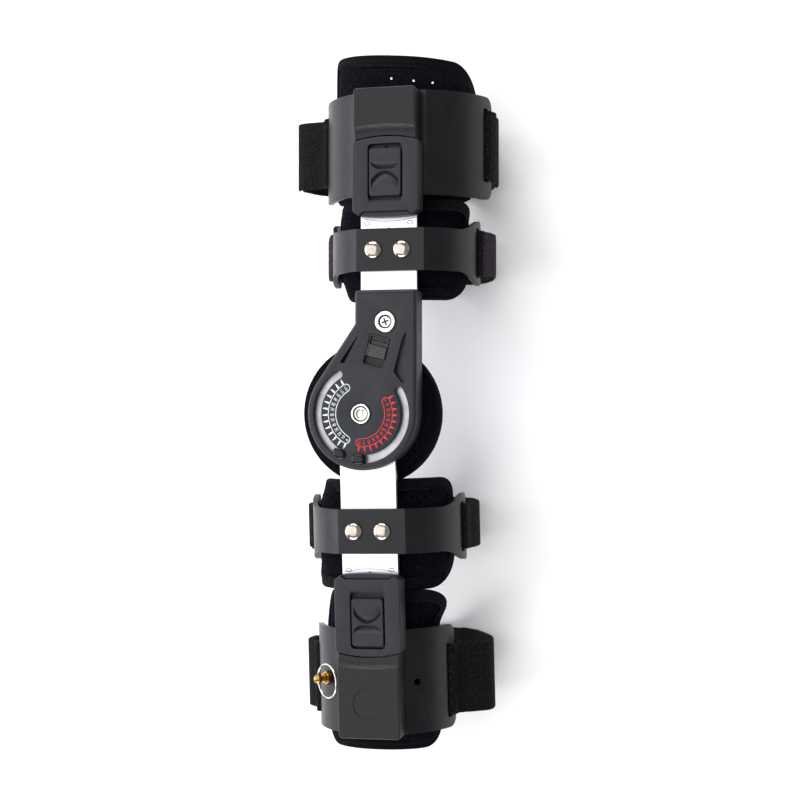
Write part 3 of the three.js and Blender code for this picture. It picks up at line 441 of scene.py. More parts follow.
def padPrint(name, hexColour):
    # pad-printed ink: flat and slightly chalky, thin enough to take the mould's grain
    material, tree, shader = startMaterial(name, {"Roughness": 0.6, "IOR": 1.5})
    thin = addNoise(tree, addNode(tree, "ShaderNodeTexCoord").outputs["Object"], 1800, 3)
    share = mapRange(tree, thin, 0.3, 0.75, 0, 0.35)
    colour = mixColours(tree, share, toLinear(hexColour), toLinear("#25282c"))
    tree.links.new(colour, shader.inputs["Base Color"])
    setBump(tree, shader, thin, 0.2, 0.1)
    return material


plainTool = bpy.data.materials.new("cutting tool")
coverAbs = mouldedPlastic("charcoal ABS, fine spark grain", {
    "dark": "#17191d", "light": "#202328", "roughness": 0.46, "shine": 0.3,
    "mottleMm": 9, "grainMm": 0.9, "bump": 0.5, "fleck": "#2c3036"})
# its light flecks are painted highlights: the tiny glints of the moulded grain
wingAbs = mouldedPlastic("charcoal polypropylene, satin moulded", {
    "dark": "#0b0b0e", "light": "#101014", "roughness": 0.36, "shine": 0.28,
    "mottleMm": 16, "grainMm": 1.2, "bump": 0.3, "scratches": 0.45, "fleck": "#1f1f24"})
buttonAbs = mouldedPlastic("black ABS, polished mould", {
    "dark": "#050506", "light": "#09090b", "roughness": 0.14, "shine": 0.3,
    "mottleMm": 5, "grainMm": 0.7, "bump": 0.15})
switchAbs = mouldedPlastic("black switch ABS", {
    "dark": "#0e0f11", "light": "#17181b", "roughness": 0.34, "shine": 0.45,
    "mottleMm": 5, "grainMm": 0.7, "bump": 0.15})
# its two grey tones near the hinge axis are painted shade for the plate seen down the dial's slots
barMetal = platedMetal("satin anodised aluminium bar", {
    "dark": "#d9d7df", "light": "#efedf3", "roughness": 0.36, "vary": 0.05, "cloudMm": 1.5,
    "stretch": (3, 0.25, 3), "bump": 0.12, "slotShade": ("#77767a", "#c4c4c8")})
nickel = platedMetal("nickel-plated steel", {
    "dark": "#8f8278", "light": "#ddd4c8", "roughness": 0.17, "vary": 0.06, "cloudMm": 2.6, "bump": 0.6})
brightNickel = platedMetal("turned nickel head", {
    "dark": "#bdb9b4", "light": "#f4f1ec", "roughness": 0.2, "vary": 0.05, "cloudMm": 4.5, "bump": 0.12})
ringSteel = platedMetal("bright drawn steel wire", {
    "dark": "#b8b4ae", "light": "#e8e5e0", "roughness": 0.16, "vary": 0.05, "cloudMm": 1.4, "bump": 0.15})
brass = platedMetal("turned brass", {
    "dark": "#8a6a30", "light": "#d2ac66", "roughness": 0.24, "vary": 0.07, "cloudMm": 1.6, "bump": 0.3})
padVelour = velour("perforated black velour", {
    "dark": "#040508", "light": "#0a0c13", "bloom": "#323a55", "sheen": 0.05, "napMm": 0.7,
    "fleck": "#2b2f3d"})
binding = wovenTape("black grosgrain binding", {
    "dark": "#050507", "light": "#0d0d11", "worn": "#141418", "wornShare": 0.4, "bloom": "#5a5a66",
    "sheen": 0.04, "fleck": "#26262c", "fleckShare": 0.04,
    "ribMm": 1.1, "wander": 0.6, "fuzzMm": 0.6, "ribShare": 0.9, "bump": 0.6})
webbing = wovenTape("black hook-and-loop webbing", {
    "dark": "#050505", "light": "#0f0e0f", "worn": "#181617", "wornShare": 0.45, "bloom": "#575058",
    "sheen": 0.035, "fleck": "#403a3b", "fleckShare": 0.1,
    "ribMm": 1.4, "wander": 6.0, "fuzzMm": 0.8, "ribShare": 0.35, "bump": 0.9})
hookTape = wovenTape("brown-violet hook tape", {
    "dark": "#17121a", "light": "#342933", "worn": "#40343e", "wornShare": 0.5, "bloom": "#6c5a68",
    "sheen": 0.15, "fleck": "#75646f", "fleckShare": 0.1,
    "ribMm": 1.0, "wander": 1.5, "fuzzMm": 0.9, "ribShare": 0.7, "bump": 1.0})
thread = wovenTape("black bonded thread", {
    "dark": "#101013", "light": "#2a2a30", "worn": "#2e2e34", "wornShare": 0.3, "bloom": "#6a6a74",
    "sheen": 0.2, "fleck": "#45454c", "fleckShare": 0.05,
    "ribMm": 0.8, "wander": 0.5, "fuzzMm": 0.5, "ribShare": 0.8, "bump": 0.4})
# near-black paint for shade: in the hinge heads' grooves, in the bars' stamped ovals and as the tongue's shadow
# arc
grooveShadePaint = mouldedPlastic("painted groove shade", {
    "dark": "#1b1b1e", "light": "#34343a", "roughness": 0.55, "shine": 0.4,
    "mottleMm": 2, "grainMm": 0.5, "bump": 0.2})
fibre = mouldedPlastic("loose nylon fibre", {
    "dark": "#080708", "light": "#1d1a1b", "roughness": 0.7, "shine": 0.3,
    "mottleMm": 3, "grainMm": 0.5, "bump": 0.1})
whiteInk = padPrint("white pad print", "#e8ecf2")
redInk = padPrint("red pad print", "#d8232b")
print("materials made")


# ---- the cuffs: two round wings either side of a flat plate over the bar

loops = {
    "upperWide": {"arm": "upper", "along": 145, "height": 56, "halfSpan": 48, "shift": 1.35,
                  "endAngle": 78, "strap": 38, "strapAlong": 146.6, "slackLeft": 19.8, "slackRight": -0.8,
                  "wide": True, "doubled": 0},
    "upperNarrow": {"arm": "upper", "along": 87.6, "height": 22.7, "halfSpan": 41.2, "shift": 1.4,
                    "endAngle": 93, "strap": 25, "strapAlong": 87.6, "slackLeft": 7.2, "slackRight": 4.0,
                    "wide": False, "doubled": 1},
    "lowerNarrow": {"arm": "lower", "along": 63, "height": 24, "halfSpan": 43, "shift": -2.1,
                    "endAngle": 91, "strap": 25, "strapAlong": 63, "slackLeft": 3.7, "slackRight": 8.1,
                    "wide": False, "doubled": -1},
    "lowerWide": {"arm": "lower", "along": 144, "height": 56, "halfSpan": 39.4, "shift": 0.8,
                  "endAngle": 80, "strap": 38, "strapAlong": 146.4, "slackLeft": 17.1, "slackRight": 9.6,
                  "wide": True, "doubled": -1},
}
wingShape = {
    "bandWall": 2.5, "bandPlate": 18.3, "bandMiddle": 1.55, "tipRise": 6.3, "bandCorner": 2.5,
    "shellWall": 3.0, "shellPlate": 18.0, "shellMiddle": -4.9, "shellCorner": 6.0,
    "slot": 3.8, "slotMargin": 1.0, "endBar": 4.6,
}


def cuffOf(loop):
    wide = loop["wide"]
    wall = wingShape["shellWall" if wide else "bandWall"]
    plate = wingShape["shellPlate" if wide else "bandPlate"]
    middle = wingShape["shellMiddle" if wide else "bandMiddle"]
    radius = loop["halfSpan"] - wall / 2
    end = math.radians(loop["endAngle"])
    bend = math.asin(plate / radius)
    return {
        "across": barAcross[loop["arm"]] + loop["shift"], "radius": radius, "wall": wall, "plate": plate,
        "middle": middle, "centreZ": middle - math.sqrt(radius ** 2 - plate ** 2), "end": end, "bend": bend,
        "wing": radius * (end - bend), "total": 2 * radius * (end - bend) + 2 * plate,
        "slotAngle": end - (wingShape["endBar"] + wingShape["slot"] / 2) / radius,
    }


def alongCuff(cuff, distance):
    # middle line by distance from the left tip: arc of the wing, flat plate, arc of the wing
    distance = np.asarray(distance, float)
    left, right = distance < cuff["wing"], distance > cuff["wing"] + 2 * cuff["plate"]
    angle = np.where(left, -cuff["end"] + distance / cuff["radius"],
                     cuff["bend"] + (distance - cuff["wing"] - 2 * cuff["plate"]) / cuff["radius"])
    angle = np.where(left | right, angle, 0)
    x = np.where(left | right, cuff["across"] + cuff["radius"] * np.sin(angle),
                 cuff["across"] - cuff["plate"] + distance - cuff["wing"])
    z = np.where(left | right, cuff["centreZ"] + cuff["radius"] * np.cos(angle), cuff["middle"])
    return x, z, np.sin(angle), np.cos(angle)


def cornerCut(distance, corner):
    # how far a round corner or edge falls back at a distance from its end:
    # corner - (corner^2 - (corner - distance)^2)^(1/2), and 0 beyond it
    inside = np.maximum(corner - distance, 0)
    return corner - np.sqrt(np.maximum(corner ** 2 - inside ** 2, 0))


def wingSurface(loop):
    # the cuff's middle surface: distance round the arm by place along it, its edges drawn in
    # at the rounded corners and flared at a band's tips, the strap's two slots left open
    cuff = cuffOf(loop)
    total, wing = cuff["total"], cuff["wing"]
    slotAt = (cuff["end"] - cuff["slotAngle"]) * cuff["radius"]
    slotEdges = [slotAt - wingShape["slot"] / 2, slotAt + wingShape["slot"] / 2]
    corner = wingShape["shellCorner" if loop["wide"] else "bandCorner"]
    ends = corner * (1 - np.cos(np.linspace(0, math.pi / 2, 9)))
    half = np.concatenate([ends, slotEdges, [wing], np.arange(corner + 1.2, total / 2, 1.6)])
    steps = np.sort(np.concatenate([half, total - half]))
    fixed = np.array(slotEdges + [wing] + [total - v for v in slotEdges + [wing]])
    near = np.abs(steps[:, None] - fixed).min(1)
    steps = steps[(near < 1e-6) | (near > 0.5)]
    steps = steps[np.concatenate([[True], np.diff(steps) > 1e-3])]
    fromEnd = np.minimum(steps, total - steps)
    flare = 0 if loop["wide"] else wingShape["tipRise"] * smoothStep((1 - fromEnd / wing - 0.46) / 0.5)
    edge = loop["height"] / 2 + flare - cornerCut(fromEnd, corner)
    slotHalf = loop["strap"] / 2 + wingShape["slotMargin"]
    inner = np.linspace(-slotHalf, slotHalf, 15 if loop["wide"] else 9)
    inner = inner[None, :] + loop["strapAlong"] - loop["along"]
    inner = np.minimum(np.abs(inner), (edge - 0.25)[:, None]) * np.sign(inner)
    outer = np.linspace(0, 1, 5)[None, 1:]
    upper = inner[:, -1:] + (edge[:, None] - inner[:, -1:]) * outer
    lower = inner[:, :1] - (edge[:, None] + inner[:, :1]) * outer
    across = np.hstack([lower[:, ::-1], inner, upper]) + loop["along"]
    x, z, _, _ = alongCuff(cuff, steps)
    points = np.stack([np.repeat(x[:, None], across.shape[1], 1), across,
                       np.repeat(z[:, None], across.shape[1], 1)], axis=-1)
    faces = gridFaces(*across.shape)
    middle = (steps[:-1] + steps[1:]) / 2
    fromTip = np.repeat(np.minimum(middle, total - middle), across.shape[1] - 1)
    row = np.tile(np.arange(across.shape[1] - 1), len(middle))
    inSlot = (fromTip > slotEdges[0]) & (fromTip < slotEdges[1]) & (row >= 4) & (row < across.shape[1] - 5)
    return points.reshape(-1, 3), faces[~inSlot]


def wingPiece(name, loop):
    points, faces = wingSurface(loop)
    piece = makePiece(name, points, faces, wingAbs, armTurn[loop["arm"]])
    return thicken(piece, cuffOf(loop)["wall"], 0.75)


def holeInWing(loop, angle, along, radius):
    # a round cutter square to the wing
    cuff = cuffOf(loop)
    turn = math.radians(angle)
    circle = arcPoints(0, 0, radius, 0, 337.5, 16)
    points, faces = ringSolid(circle, [(0, -6), (0, 6)])
    c, s = math.cos(turn), math.sin(turn)
    x = cuff["across"] + cuff["radius"] * s + points[:, 0] * c + points[:, 2] * s
    z = cuff["centreZ"] + cuff["radius"] * c - points[:, 0] * s + points[:, 2] * c
    placed = np.column_stack([x, points[:, 1] + along, z])
    return makePiece("cutter", placed, faces, plainTool, armTurn[loop["arm"]])


for name, loopName, body, node in (
        ("upperBandWing", "upperNarrow", "upper_arm", "upper_band"),
        ("lowerBandWing", "lowerNarrow", "forearm", "lower_band"),
        ("upperShellWing", "upperWide", "upper_cuff", "upper_shell"),
        ("lowerShellWing", "lowerWide", "forearm_cuff", "lower_shell")):
    wing = wingPiece(name, loops[loopName])
    if loopName == "lowerWide":
        # the plunger's hole on the left and a bare one on the right, by their angles round the arm
        carve(wing, [holeInWing(loops[loopName], *hole) for hole in ((-37, 144.5, 1.9), (42, 143.5, 1.8))])
    finishAs(wing, body, [node])
print("cuffs made")


# ---- the raised boss that each wide cuff carries over its bar

bossShape = {"half": 17.0, "front": 9.5, "slope": 5.5, "edge": 0.7, "drop": 2.4, "base": -5.3, "bow": 2.2,
             "corner": 2.0, "channel": 15.7,
             "upper": {"start": 147.85, "end": 173.0}, "lower": {"start": 129.85, "end": 172.5}}


def edgeSteps(length, edge, inner):
    # places from 0 to length, close together within the rounded edge at both ends
    close = edge * (1 - np.cos(np.linspace(0, math.pi / 2, 6)))
    middle = np.linspace(edge, length - edge, inner)[1:-1]
    return np.concatenate([close, middle, (length - close)[::-1]])


def bossPiece(name, arm, extraCutters=()):
    # a top surface over a grid, its rim rounded, with walls straight down to the base; the end
    # by the seam is bowed like the lock's cover and falls to it in a hollow curve
    size, span, across = bossShape, bossShape[arm], barAcross[arm]
    half, long = size["half"], span["end"] - span["start"]
    x, s = np.meshgrid(edgeSteps(2 * half, size["edge"], 34) - half, edgeSteps(long, size["edge"], 60))
    limit = half - cornerCut(long - s, size["corner"])
    x = np.sign(x) * np.minimum(np.abs(x), limit)
    inset = np.minimum(limit - np.abs(x), long - s)
    # height = front - edge's quarter round - drop (1 - (1 - t)^2), t from the crest to the seam
    t = np.clip((size["slope"] - s) / size["slope"], 0, 1)
    height = size["front"] - cornerCut(inset, size["edge"]) - size["drop"] * (1 - (1 - t) ** 2)
    bow = -size["bow"] * (x / half) ** 2 * np.clip(1 - s / (2.4 * size["slope"]), 0, 1)
    top = np.stack([x + across, span["start"] + s + bow, height], axis=-1)
    points, faces = wallsDown(top, size["base"])
    piece = makePiece(name, points, faces, wingAbs, armTurn[arm], sharp=24)
    channel = roundedBox(across - size["channel"], across + size["channel"],
                         span["start"] - 9, span["end"] - 5, 0.8)
    room = cutterOf(channel, [(0, size["base"] - 2), (0, 0.3)], armTurn[arm])
    return carve(piece, [room, *extraCutters], 24)


def wallsDown(top, base):
    # a grid's surface closed by walls down to a flat base
    rows, columns, _ = top.shape
    index = np.arange(rows * columns).reshape(rows, columns)
    rim = np.concatenate([index[0, :-1], index[:-1, -1], index[-1, :0:-1], index[:0:-1, 0]])
    points = top.reshape(-1, 3)
    skirt = points[rim].copy()
    skirt[:, 2] = base
    faces = [list(f) for f in gridFaces(rows, columns)]
    count, first = len(rim), len(points)
    faces += [[rim[k], rim[(k + 1) % count], first + (k + 1) % count, first + k] for k in range(count)]
    faces.append(list(range(first, first + count)))
    return np.vstack([points, skirt]), faces


finishAs(bossPiece("upperBoss", "upper"), "upper_cuff")
disc = cutterOf(arcPoints(barAcross["lower"], 154, 8.6, 0, 354, 60), openRows(9.1, 9.5, 0.15), armTurn["lower"])
finishAs(bossPiece("lowerBoss", "lower", [disc]), "forearm_cuff")
print("bosses made")


# ---- the lock on each bar: a cover with a window, a thumb slider and a lower tongue

lockShape = {"half": 18.2, "front": 7.5, "corner": 3.5, "bow": 1.1, "farBow": 2.4, "window": (19.0, 30.0),
             "windowDepth": 4.2, "tongueHalf": 12.1, "tongueFoot": 15.6, "tongue": 2.7, "tongueDrop": 1.3,
             "groove": 0.3, "slider": (17.5, 25.4), "sliderCorner": 1.7, "sliderEdge": 0.45, "rise": 0.4,
             "channel": 15.7,
             "upper": {"start": 104.6, "seam": 147.2, "windowFrom": 8.8, "sliderFrom": 2.2},
             "lower": {"start": 85.1, "seam": 129.2, "windowFrom": 10.0, "sliderFrom": 3.2}}


def bowedCover(across, start, seam):
    # two straight sides, both ends bowed outwards, the elbow end's corners cut off
    half, bow, farBow, corner = (lockShape[k] for k in ("half", "bow", "farBow", "corner"))
    radius = (half ** 2 + bow ** 2) / (2 * bow)
    spread = math.degrees(math.asin((half - corner) / radius))
    farRadius = (half ** 2 + farBow ** 2) / (2 * farBow)
    far = math.degrees(math.asin((half - 0.6) / farRadius))
    end = seam - farBow
    return np.vstack([
        arcPoints(across, start + radius, radius, -90 - spread, -90 + spread, 24),
        [[across + half, start + corner], [across + half, end - 0.6]],
        arcPoints(across, seam - farRadius, farRadius, 90 - far, 90 + far, 24),
        [[across - half, end - 0.6], [across - half, start + corner]],
    ])


def lockCover(name, arm):
    size, span, across, turn = lockShape, lockShape[arm], barAcross[arm], armTurn[arm]
    start, front = span["start"], size["front"]
    points, faces = ringSolid(bowedCover(across, start, span["seam"]), roundedRows(-3.0, front, 0.7))
    piece = makePiece(name, points, faces, coverAbs, turn)
    wide, long = size["window"]
    low = start + span["windowFrom"]
    window = roundedBox(across - wide / 2, across + wide / 2, low, low + long, 2.2)
    ledge = roundedBox(across - wide / 2 + 0.4, across + wide / 2 - 0.4, low - 1.1, low + 6, 2.0)
    notch = roundedBox(across - 1, across + 1, low + long - 2.6, low + long - 0.7, 0.3)
    half, foot, tongue = size["tongueHalf"], size["tongueFoot"], size["tongue"]
    slant = (foot - half) / tongue
    tongueCut = np.array([[across - foot - 4 * slant, start - 4], [across + foot + 4 * slant, start - 4],
                          [across + half, start + tongue], [across - half, start + tongue]])
    outside, inside = offsetOutline(tongueCut, -size["groove"]), offsetOutline(tongueCut, size["groove"])
    groove = np.vstack([outside[[1, 2, 3, 0]], inside[[0, 3, 2, 1]]])
    channel = roundedBox(across - size["channel"], across + size["channel"], start - 5, span["seam"] + 5, 0.5)
    return carve(piece, [
        cutterOf(channel, [(0, -6), (0, 0.3)], turn),
        cutterOf(window, openRows(front - size["windowDepth"], front, 0.25), turn),
        cutterOf(ledge, openRows(front - 1.0, front, 0.4), turn),
        cutterOf(notch, [(0, front - size["windowDepth"] - 1.6), (0, front - 1)], turn),
        cutterOf(tongueCut, openRows(front - size["tongueDrop"], front, 0.25), turn),
        cutterOf(groove, [(0, front - size["tongueDrop"] - 1.5), (0, front + 1)], turn),
    ])


def sliderTop(x, y):
    # a flat plate with an upper scoop whose deep side stands against the ridge, and a lower
    # scoop under an arch, so that the ridge between them is narrow in its middle
    inside = smoothStep((7.7 - np.abs(x)) / 0.6)
    crest = 14.0 + 3.0 * (np.abs(x) / 7.6) ** 3.5
    upper = np.clip((18.2 - y) / 4.0, 0, 1) ** 0.8 * smoothStep((y - crest) / 0.35) * inside
    arch = 13.3 - 4.6 * (x / 7.3) ** 2
    lower = np.clip(1 - (arch - y) / 5.4, 0, 1) ** 1.2 * smoothStep((arch - y) / 0.35)
    lower *= smoothStep((7.6 - np.abs(x)) / 0.4)
    return -2.2 * upper - 1.8 * lower


def lockSlider(name, arm):
    size, across = lockShape, barAcross[arm]
    wide, long = size["slider"]
    start = size[arm]["start"] + size[arm]["windowFrom"] + size[arm]["sliderFrom"]
    base = size["front"] - size["windowDepth"] + 0.3
    x, y = np.linspace(-wide / 2, wide / 2, 60), np.linspace(0, long, 88)
    gridX, gridY = np.meshgrid(x, y)
    corner = size["sliderCorner"]
    outX = np.maximum(np.abs(gridX) - (wide / 2 - corner), 0)
    outY = np.maximum(np.abs(gridY - long / 2) - (long / 2 - corner), 0)
    reach = np.maximum(np.hypot(outX, outY) / corner, 1)
    gridX = np.sign(gridX) * (np.abs(gridX) - outX + outX / reach)
    gridY = long / 2 + np.sign(gridY - long / 2) * (np.abs(gridY - long / 2) - outY + outY / reach)
    edge = np.minimum(wide / 2 - np.abs(gridX), long / 2 - np.abs(gridY - long / 2))
    edge = np.where((outX > 0) & (outY > 0), corner - np.hypot(outX, outY) / reach, edge)
    height = size["front"] + size["rise"] + sliderTop(gridX, gridY) - cornerCut(edge, size["sliderEdge"])
    top = np.stack([gridX + across, gridY + start, height], axis=-1)
    points, faces = wallsDown(top, base)
    return makePiece(name, points, faces, coverAbs, armTurn[arm], sharp=30)


finishAs(lockCover("upperLockCover", "upper"), "upper_cuff", ["upper_lock_cover"])
finishAs(lockCover("lowerLockCover", "lower"), "forearm_cuff", ["lower_lock_cover"])
finishAs(lockSlider("upperLockThumb", "upper"), "upper_lock", ["upper_lock_slider"])
finishAs(lockSlider("lowerLockThumb", "lower"), "lower_lock", ["lower_lock_slider"])
print("locks made")


# ---- the hinge's housing with its dial

dialShape = {"front": 7.0, "base": -3.0, "edge": 1.9, "right": 30.5, "left": -3.5, "top": 66.0, "knee": 48.0,
             "radius": 30.25, "shift": 0.25, "channel": 15.7, "slotRadius": 24.3, "slotWidth": 4.3,
             "screwAt": 48.9, "switchAt": 34.6, "switch": (11.4, 16.5), "plateRoom": 28.6, "sweepRoom": 62.0,
             "headRoom": (5.6, 5.9), "headSunk": 1.2, "stemRoom": (3.8, 2.8),
             "extension": (115.6, 247.5), "flexion": (260.0, 395.4), "turn": -14.8}


# the two sunk triangles: corners on the housing's face and the depth under each
pockets = [
    ([[-1.7, 42.2], [-12.0, 27.4], [-9.2, 26.6], [-2.0, 40.0]], [1.6, 2.9, 2.2, 1.0]),
    ([[24.9, 43.5], [24.4, 17.0], [22.6, 16.4], [18.3, 22.4], [23.0, 40.0]], [1.6, 1.4, 1.6, 2.9, 1.6]),
]


def housingOutline():
    # the neck over the bar, one straight side down to the dial's widest point, the dial's
    # arc, and a straight line that touches the dial and runs up to the neck
    size = dialShape
    kneeX, kneeY = size["left"] - size["shift"], size["knee"]
    reach = math.hypot(kneeX, kneeY)
    touch = math.degrees(math.atan2(kneeY, kneeX) + math.acos(size["radius"] / reach))
    neck = roundedBox(size["left"], size["right"], 0, size["top"], 1.6, 5)
    side = arcPoints(size["shift"], 0, size["radius"], touch, 360, 150)
    return np.vstack([side, neck[5:10], neck[10:15], [[size["left"], size["knee"]]]])


def turned(points, degrees):
    c, s = math.cos(math.radians(degrees)), math.sin(math.radians(degrees))
    points = np.asarray(points, float)
    return np.column_stack([points[:, 0] * c - points[:, 1] * s, points[:, 0] * s + points[:, 1] * c])


def slopedCutter(corners, depths):
    # a pocket cutter: a triangle above the face, its floor at its own depth under each corner
    front = dialShape["front"]
    top = np.column_stack([corners, np.full(len(corners), front + 1.5)])
    floor = np.column_stack([offsetOutline(corners, 0.5), front - np.asarray(depths)])
    return makePiece("cutter", np.vstack([top, floor]), cappedFaces(2, len(corners)), plainTool)


def dialHousing():
    size = dialShape
    front, base, across = size["front"], size["base"], barAcross["upper"]
    points, faces = ringSolid(housingOutline(), roundedRows(base, front, size["edge"], steps=5))
    piece = makePiece("dialHousing", points, faces, coverAbs)
    # below, room for the lower bar's sweep, the upper bar and the round plate
    sweep = np.vstack([[[0, 0]], arcPoints(0, 0, size["sweepRoom"], 117, 312, 40)])
    channel = roundedBox(across - size["channel"], across + size["channel"], 30, 80, 0.3)
    plate = arcPoints(0, 0, size["plateRoom"], 0, 354, 60)
    cutters = [cutterOf(outline, [(0, base - 1), (0, top)])
               for outline, top in ((sweep, 0.3), (channel, 0.3), (plate, 3.7))]
    for part in ("extension", "flexion"):
        slot = arcSlot(size["slotRadius"], size["slotWidth"], *size[part])
        cutters.append(cutterOf(slot, openRows(0.4, front, 0.3)))
    for k, spot in enumerate(((0, 0), (across, size["screwAt"]))):
        cutters.append(cutterOf(arcPoints(*spot, size["headRoom"][k], 0, 354, 60),
                                openRows(front - size["headSunk"], front, 0.25)))
        stem = arcPoints(*spot, size["stemRoom"][k], 0, 345, 24)
        cutters.append(cutterOf(stem, [(0, base - 1), (0, front)]))
    wide, long = np.array(size["switch"]) / 2
    switch = roundedBox(-wide, wide, size["switchAt"] - long, size["switchAt"] + long, 1.0)
    cutters.append(cutterOf(turned(switch, size["turn"]), openRows(front - 2.4, front, 0.3)))
    for corners, depths in pockets:
        cutters.append(slopedCutter(np.array(corners), depths))
    return carve(piece, cutters)


finishAs(dialHousing(), "upper_arm", ["hinge_cover"])
print("dial housing made")


# ---- the dial's print: two scales of ticks and plain numbers, each in a rounded frame

printShape = {
    "lift": 0.06, "thick": 0.05,
    "white": {"first": 242.6, "step": -10.1, "tick": (18.1, 21.2), "frame": (13.9, 18.0), "from": 113,
              "to": 247, "numbers": 15.95, "facing": 180},
    "red": {"first": 28.0, "step": -10.1, "tick": (17.7, 20.6), "frame": (13.3, 17.6), "from": -99, "to": 33,
            "numbers": 15.4, "facing": 0},
    "digit": 2.25, "smallDigit": 1.9, "frameLine": 0.42,
    "tickShares": np.array([0, 0.35, 0.6, 1]), "tickWidths": np.array([1.0, 1.15, 0.8, 0.45]),
}
inkHeight = dialShape["front"] + printShape["lift"]


def stripPiece(name, centreLine, width, material, closed=False):
    # a flat line of ink: the centre line moved half its width to either side
    line = np.asarray(centreLine, float)
    along = unitAlong(line, closed)
    side = np.column_stack([-along[:, 1], along[:, 0]]) * np.reshape(width, (-1, 1)) / 2
    height = np.full((len(line), 1), inkHeight)
    points = np.stack([np.hstack([line - side, height]), np.hstack([line + side, height])], axis=1)
    faces = gridFaces(len(line), 2, closedRows=closed)
    return makePiece(name, points.reshape(-1, 3), faces, material, closed=False)


def joinPieces(name, pieces):
    joined = bmesh.new()
    for piece in pieces:
        joined.from_mesh(piece.data)
    mesh = pieces[0].data
    joined.to_mesh(mesh)
    joined.free()
    for piece in pieces[1:]:
        bpy.data.objects.remove(piece)
    pieces[0].name = name
    return pieces[0]


def numberPiece(text, size, material, x, y, turn):
    curve = bpy.data.curves.new("number", "FONT")
    curve.body = text
    curve.size = size
    curve.align_x, curve.align_y = "CENTER", "CENTER"
    curve.offset = 0.005 * size
    holder = addObject("number", curve)
    bpy.context.view_layer.update()
    flat = bpy.data.meshes.new_from_object(holder.evaluated_get(bpy.context.evaluated_depsgraph_get()))
    bpy.data.objects.remove(holder)
    spots = turned(readPoints(flat)[:, :2], turn) + [x, y]
    faces = [list(f.vertices) for f in flat.polygons]
    bpy.data.meshes.remove(flat)
    points = np.column_stack([spots, np.full(len(spots), inkHeight)])
    return makePiece("number", points, faces, material, closed=False)


def scalePrint(name, look, material):
    inner, outer = look["tick"]
    reach = inner + (outer - inner) * printShape["tickShares"]
    pieces = []
    for k in range(13):
        angle = look["first"] + look["step"] * k
        ray = np.array([math.cos(math.radians(angle)), math.sin(math.radians(angle))])
        pieces.append(stripPiece("tick", reach[:, None] * ray, printShape["tickWidths"], material))
        digit, (x, y) = printShape["digit" if k < 10 else "smallDigit"], ray * look["numbers"]
        pieces.append(numberPiece(str(10 * k), digit, material, x, y, angle - look["facing"]))
    low, high = look["frame"]
    outline = arcSlot((low + high) / 2, high - low, look["from"], look["to"], 60)
    pieces.append(stripPiece("frame", outline, printShape["frameLine"], material, closed=True))
    printed = joinPieces(name, pieces)
    printed.modifiers.new("ink", "SOLIDIFY").thickness = printShape["thick"] / 1000
    return applyModifiers(printed)


finishAs(scalePrint("extensionScale", printShape["white"], whiteInk), "upper_arm")
finishAs(scalePrint("flexionScale", printShape["red"], redInk), "upper_arm")
print("dial printed")


# ---- fasteners: domed rivets, the hinge's hollow rivet and the cross-recess screw

def placed(points, x, y, z=0.0):
    return np.asarray(points, float) + [x, y, z]


rivetShape = {"across": 7.9, "stem": 2.3, "foot": -3.0, "seat": 2.9, "flange": 4.8, "radius": 4.75,
              "domeFrom": 3.25, "dome": 2.15}


def bandRivet(name, arm, x, y):
    # a shallow dome on a thin flange, its stem flush with the back of the bar
    size, t = rivetShape, np.linspace(0, math.pi / 2, 12)
    dome = np.column_stack([size["radius"] * np.cos(t), size["domeFrom"] + size["dome"] * np.sin(t)])[:-1]
    rows = np.vstack([[[size["stem"], size["foot"]], [size["stem"], size["seat"]],
                       [size["flange"] - 0.25, size["seat"]], [size["flange"], size["seat"] + 0.12]],
                      dome, [[0.35, size["domeFrom"] + size["dome"]]]])
    points, faces = lathe(rows)
    return makePiece(name, placed(points, x, y), faces, nickel, armTurn[arm], sharp=40)


for arm, loopName, body in (("upper", "upperNarrow", "upper_arm"), ("lower", "lowerNarrow", "forearm")):
    for side, sign in (("left", -1), ("right", 1)):
        x = barAcross[arm] + sign * rivetShape["across"]
        rivet = bandRivet(f"{arm}Rivet{side.title()}", arm, x, loops[loopName]["along"])
        finishAs(rivet, body, [f"{arm}_rivet_{side}"])


# the two heads in the dial's face; rows are shares of the radius and heights over the face,
# from the lip inwards, and their grooves between the two depths are painted dark as shade
headShape = {
    "lip": 0.4, "under": 0.9, "foot": -5.7, "least": 0.05, "grooveShadeDepths": (1.3, 0.55), "grooveShadeShare": 0.79,
    "recess": {"half": 0.36, "wide": 0.45, "deep": 1.1, "turns": (20, 110)},
    "rivet": {"radius": 5.3, "stem": 3.5, "spot": (0, 0), "cross": False, "rows": [
        (0.95, 0.66), (0.79, 0.66), (0.77, -0.85), (0.69, -0.85), (0.67, 0.05), (0.55, 0.15), (0.42, -0.25),
        (0.3, -0.45), (0.26, -0.45), (0.24, 0.1), (0.12, 0.2), (0, 0.2)]},
    "screw": {"radius": 5.6, "stem": 2.5, "spot": (barAcross["upper"], dialShape["screwAt"]), "cross": True,
              "rows": [
        (0.95, 0.66), (0.66, 0.66), (0.64, -0.85), (0.54, -0.85), (0.52, -0.1), (0.3, 0.05), (0, 0.1)]},
}


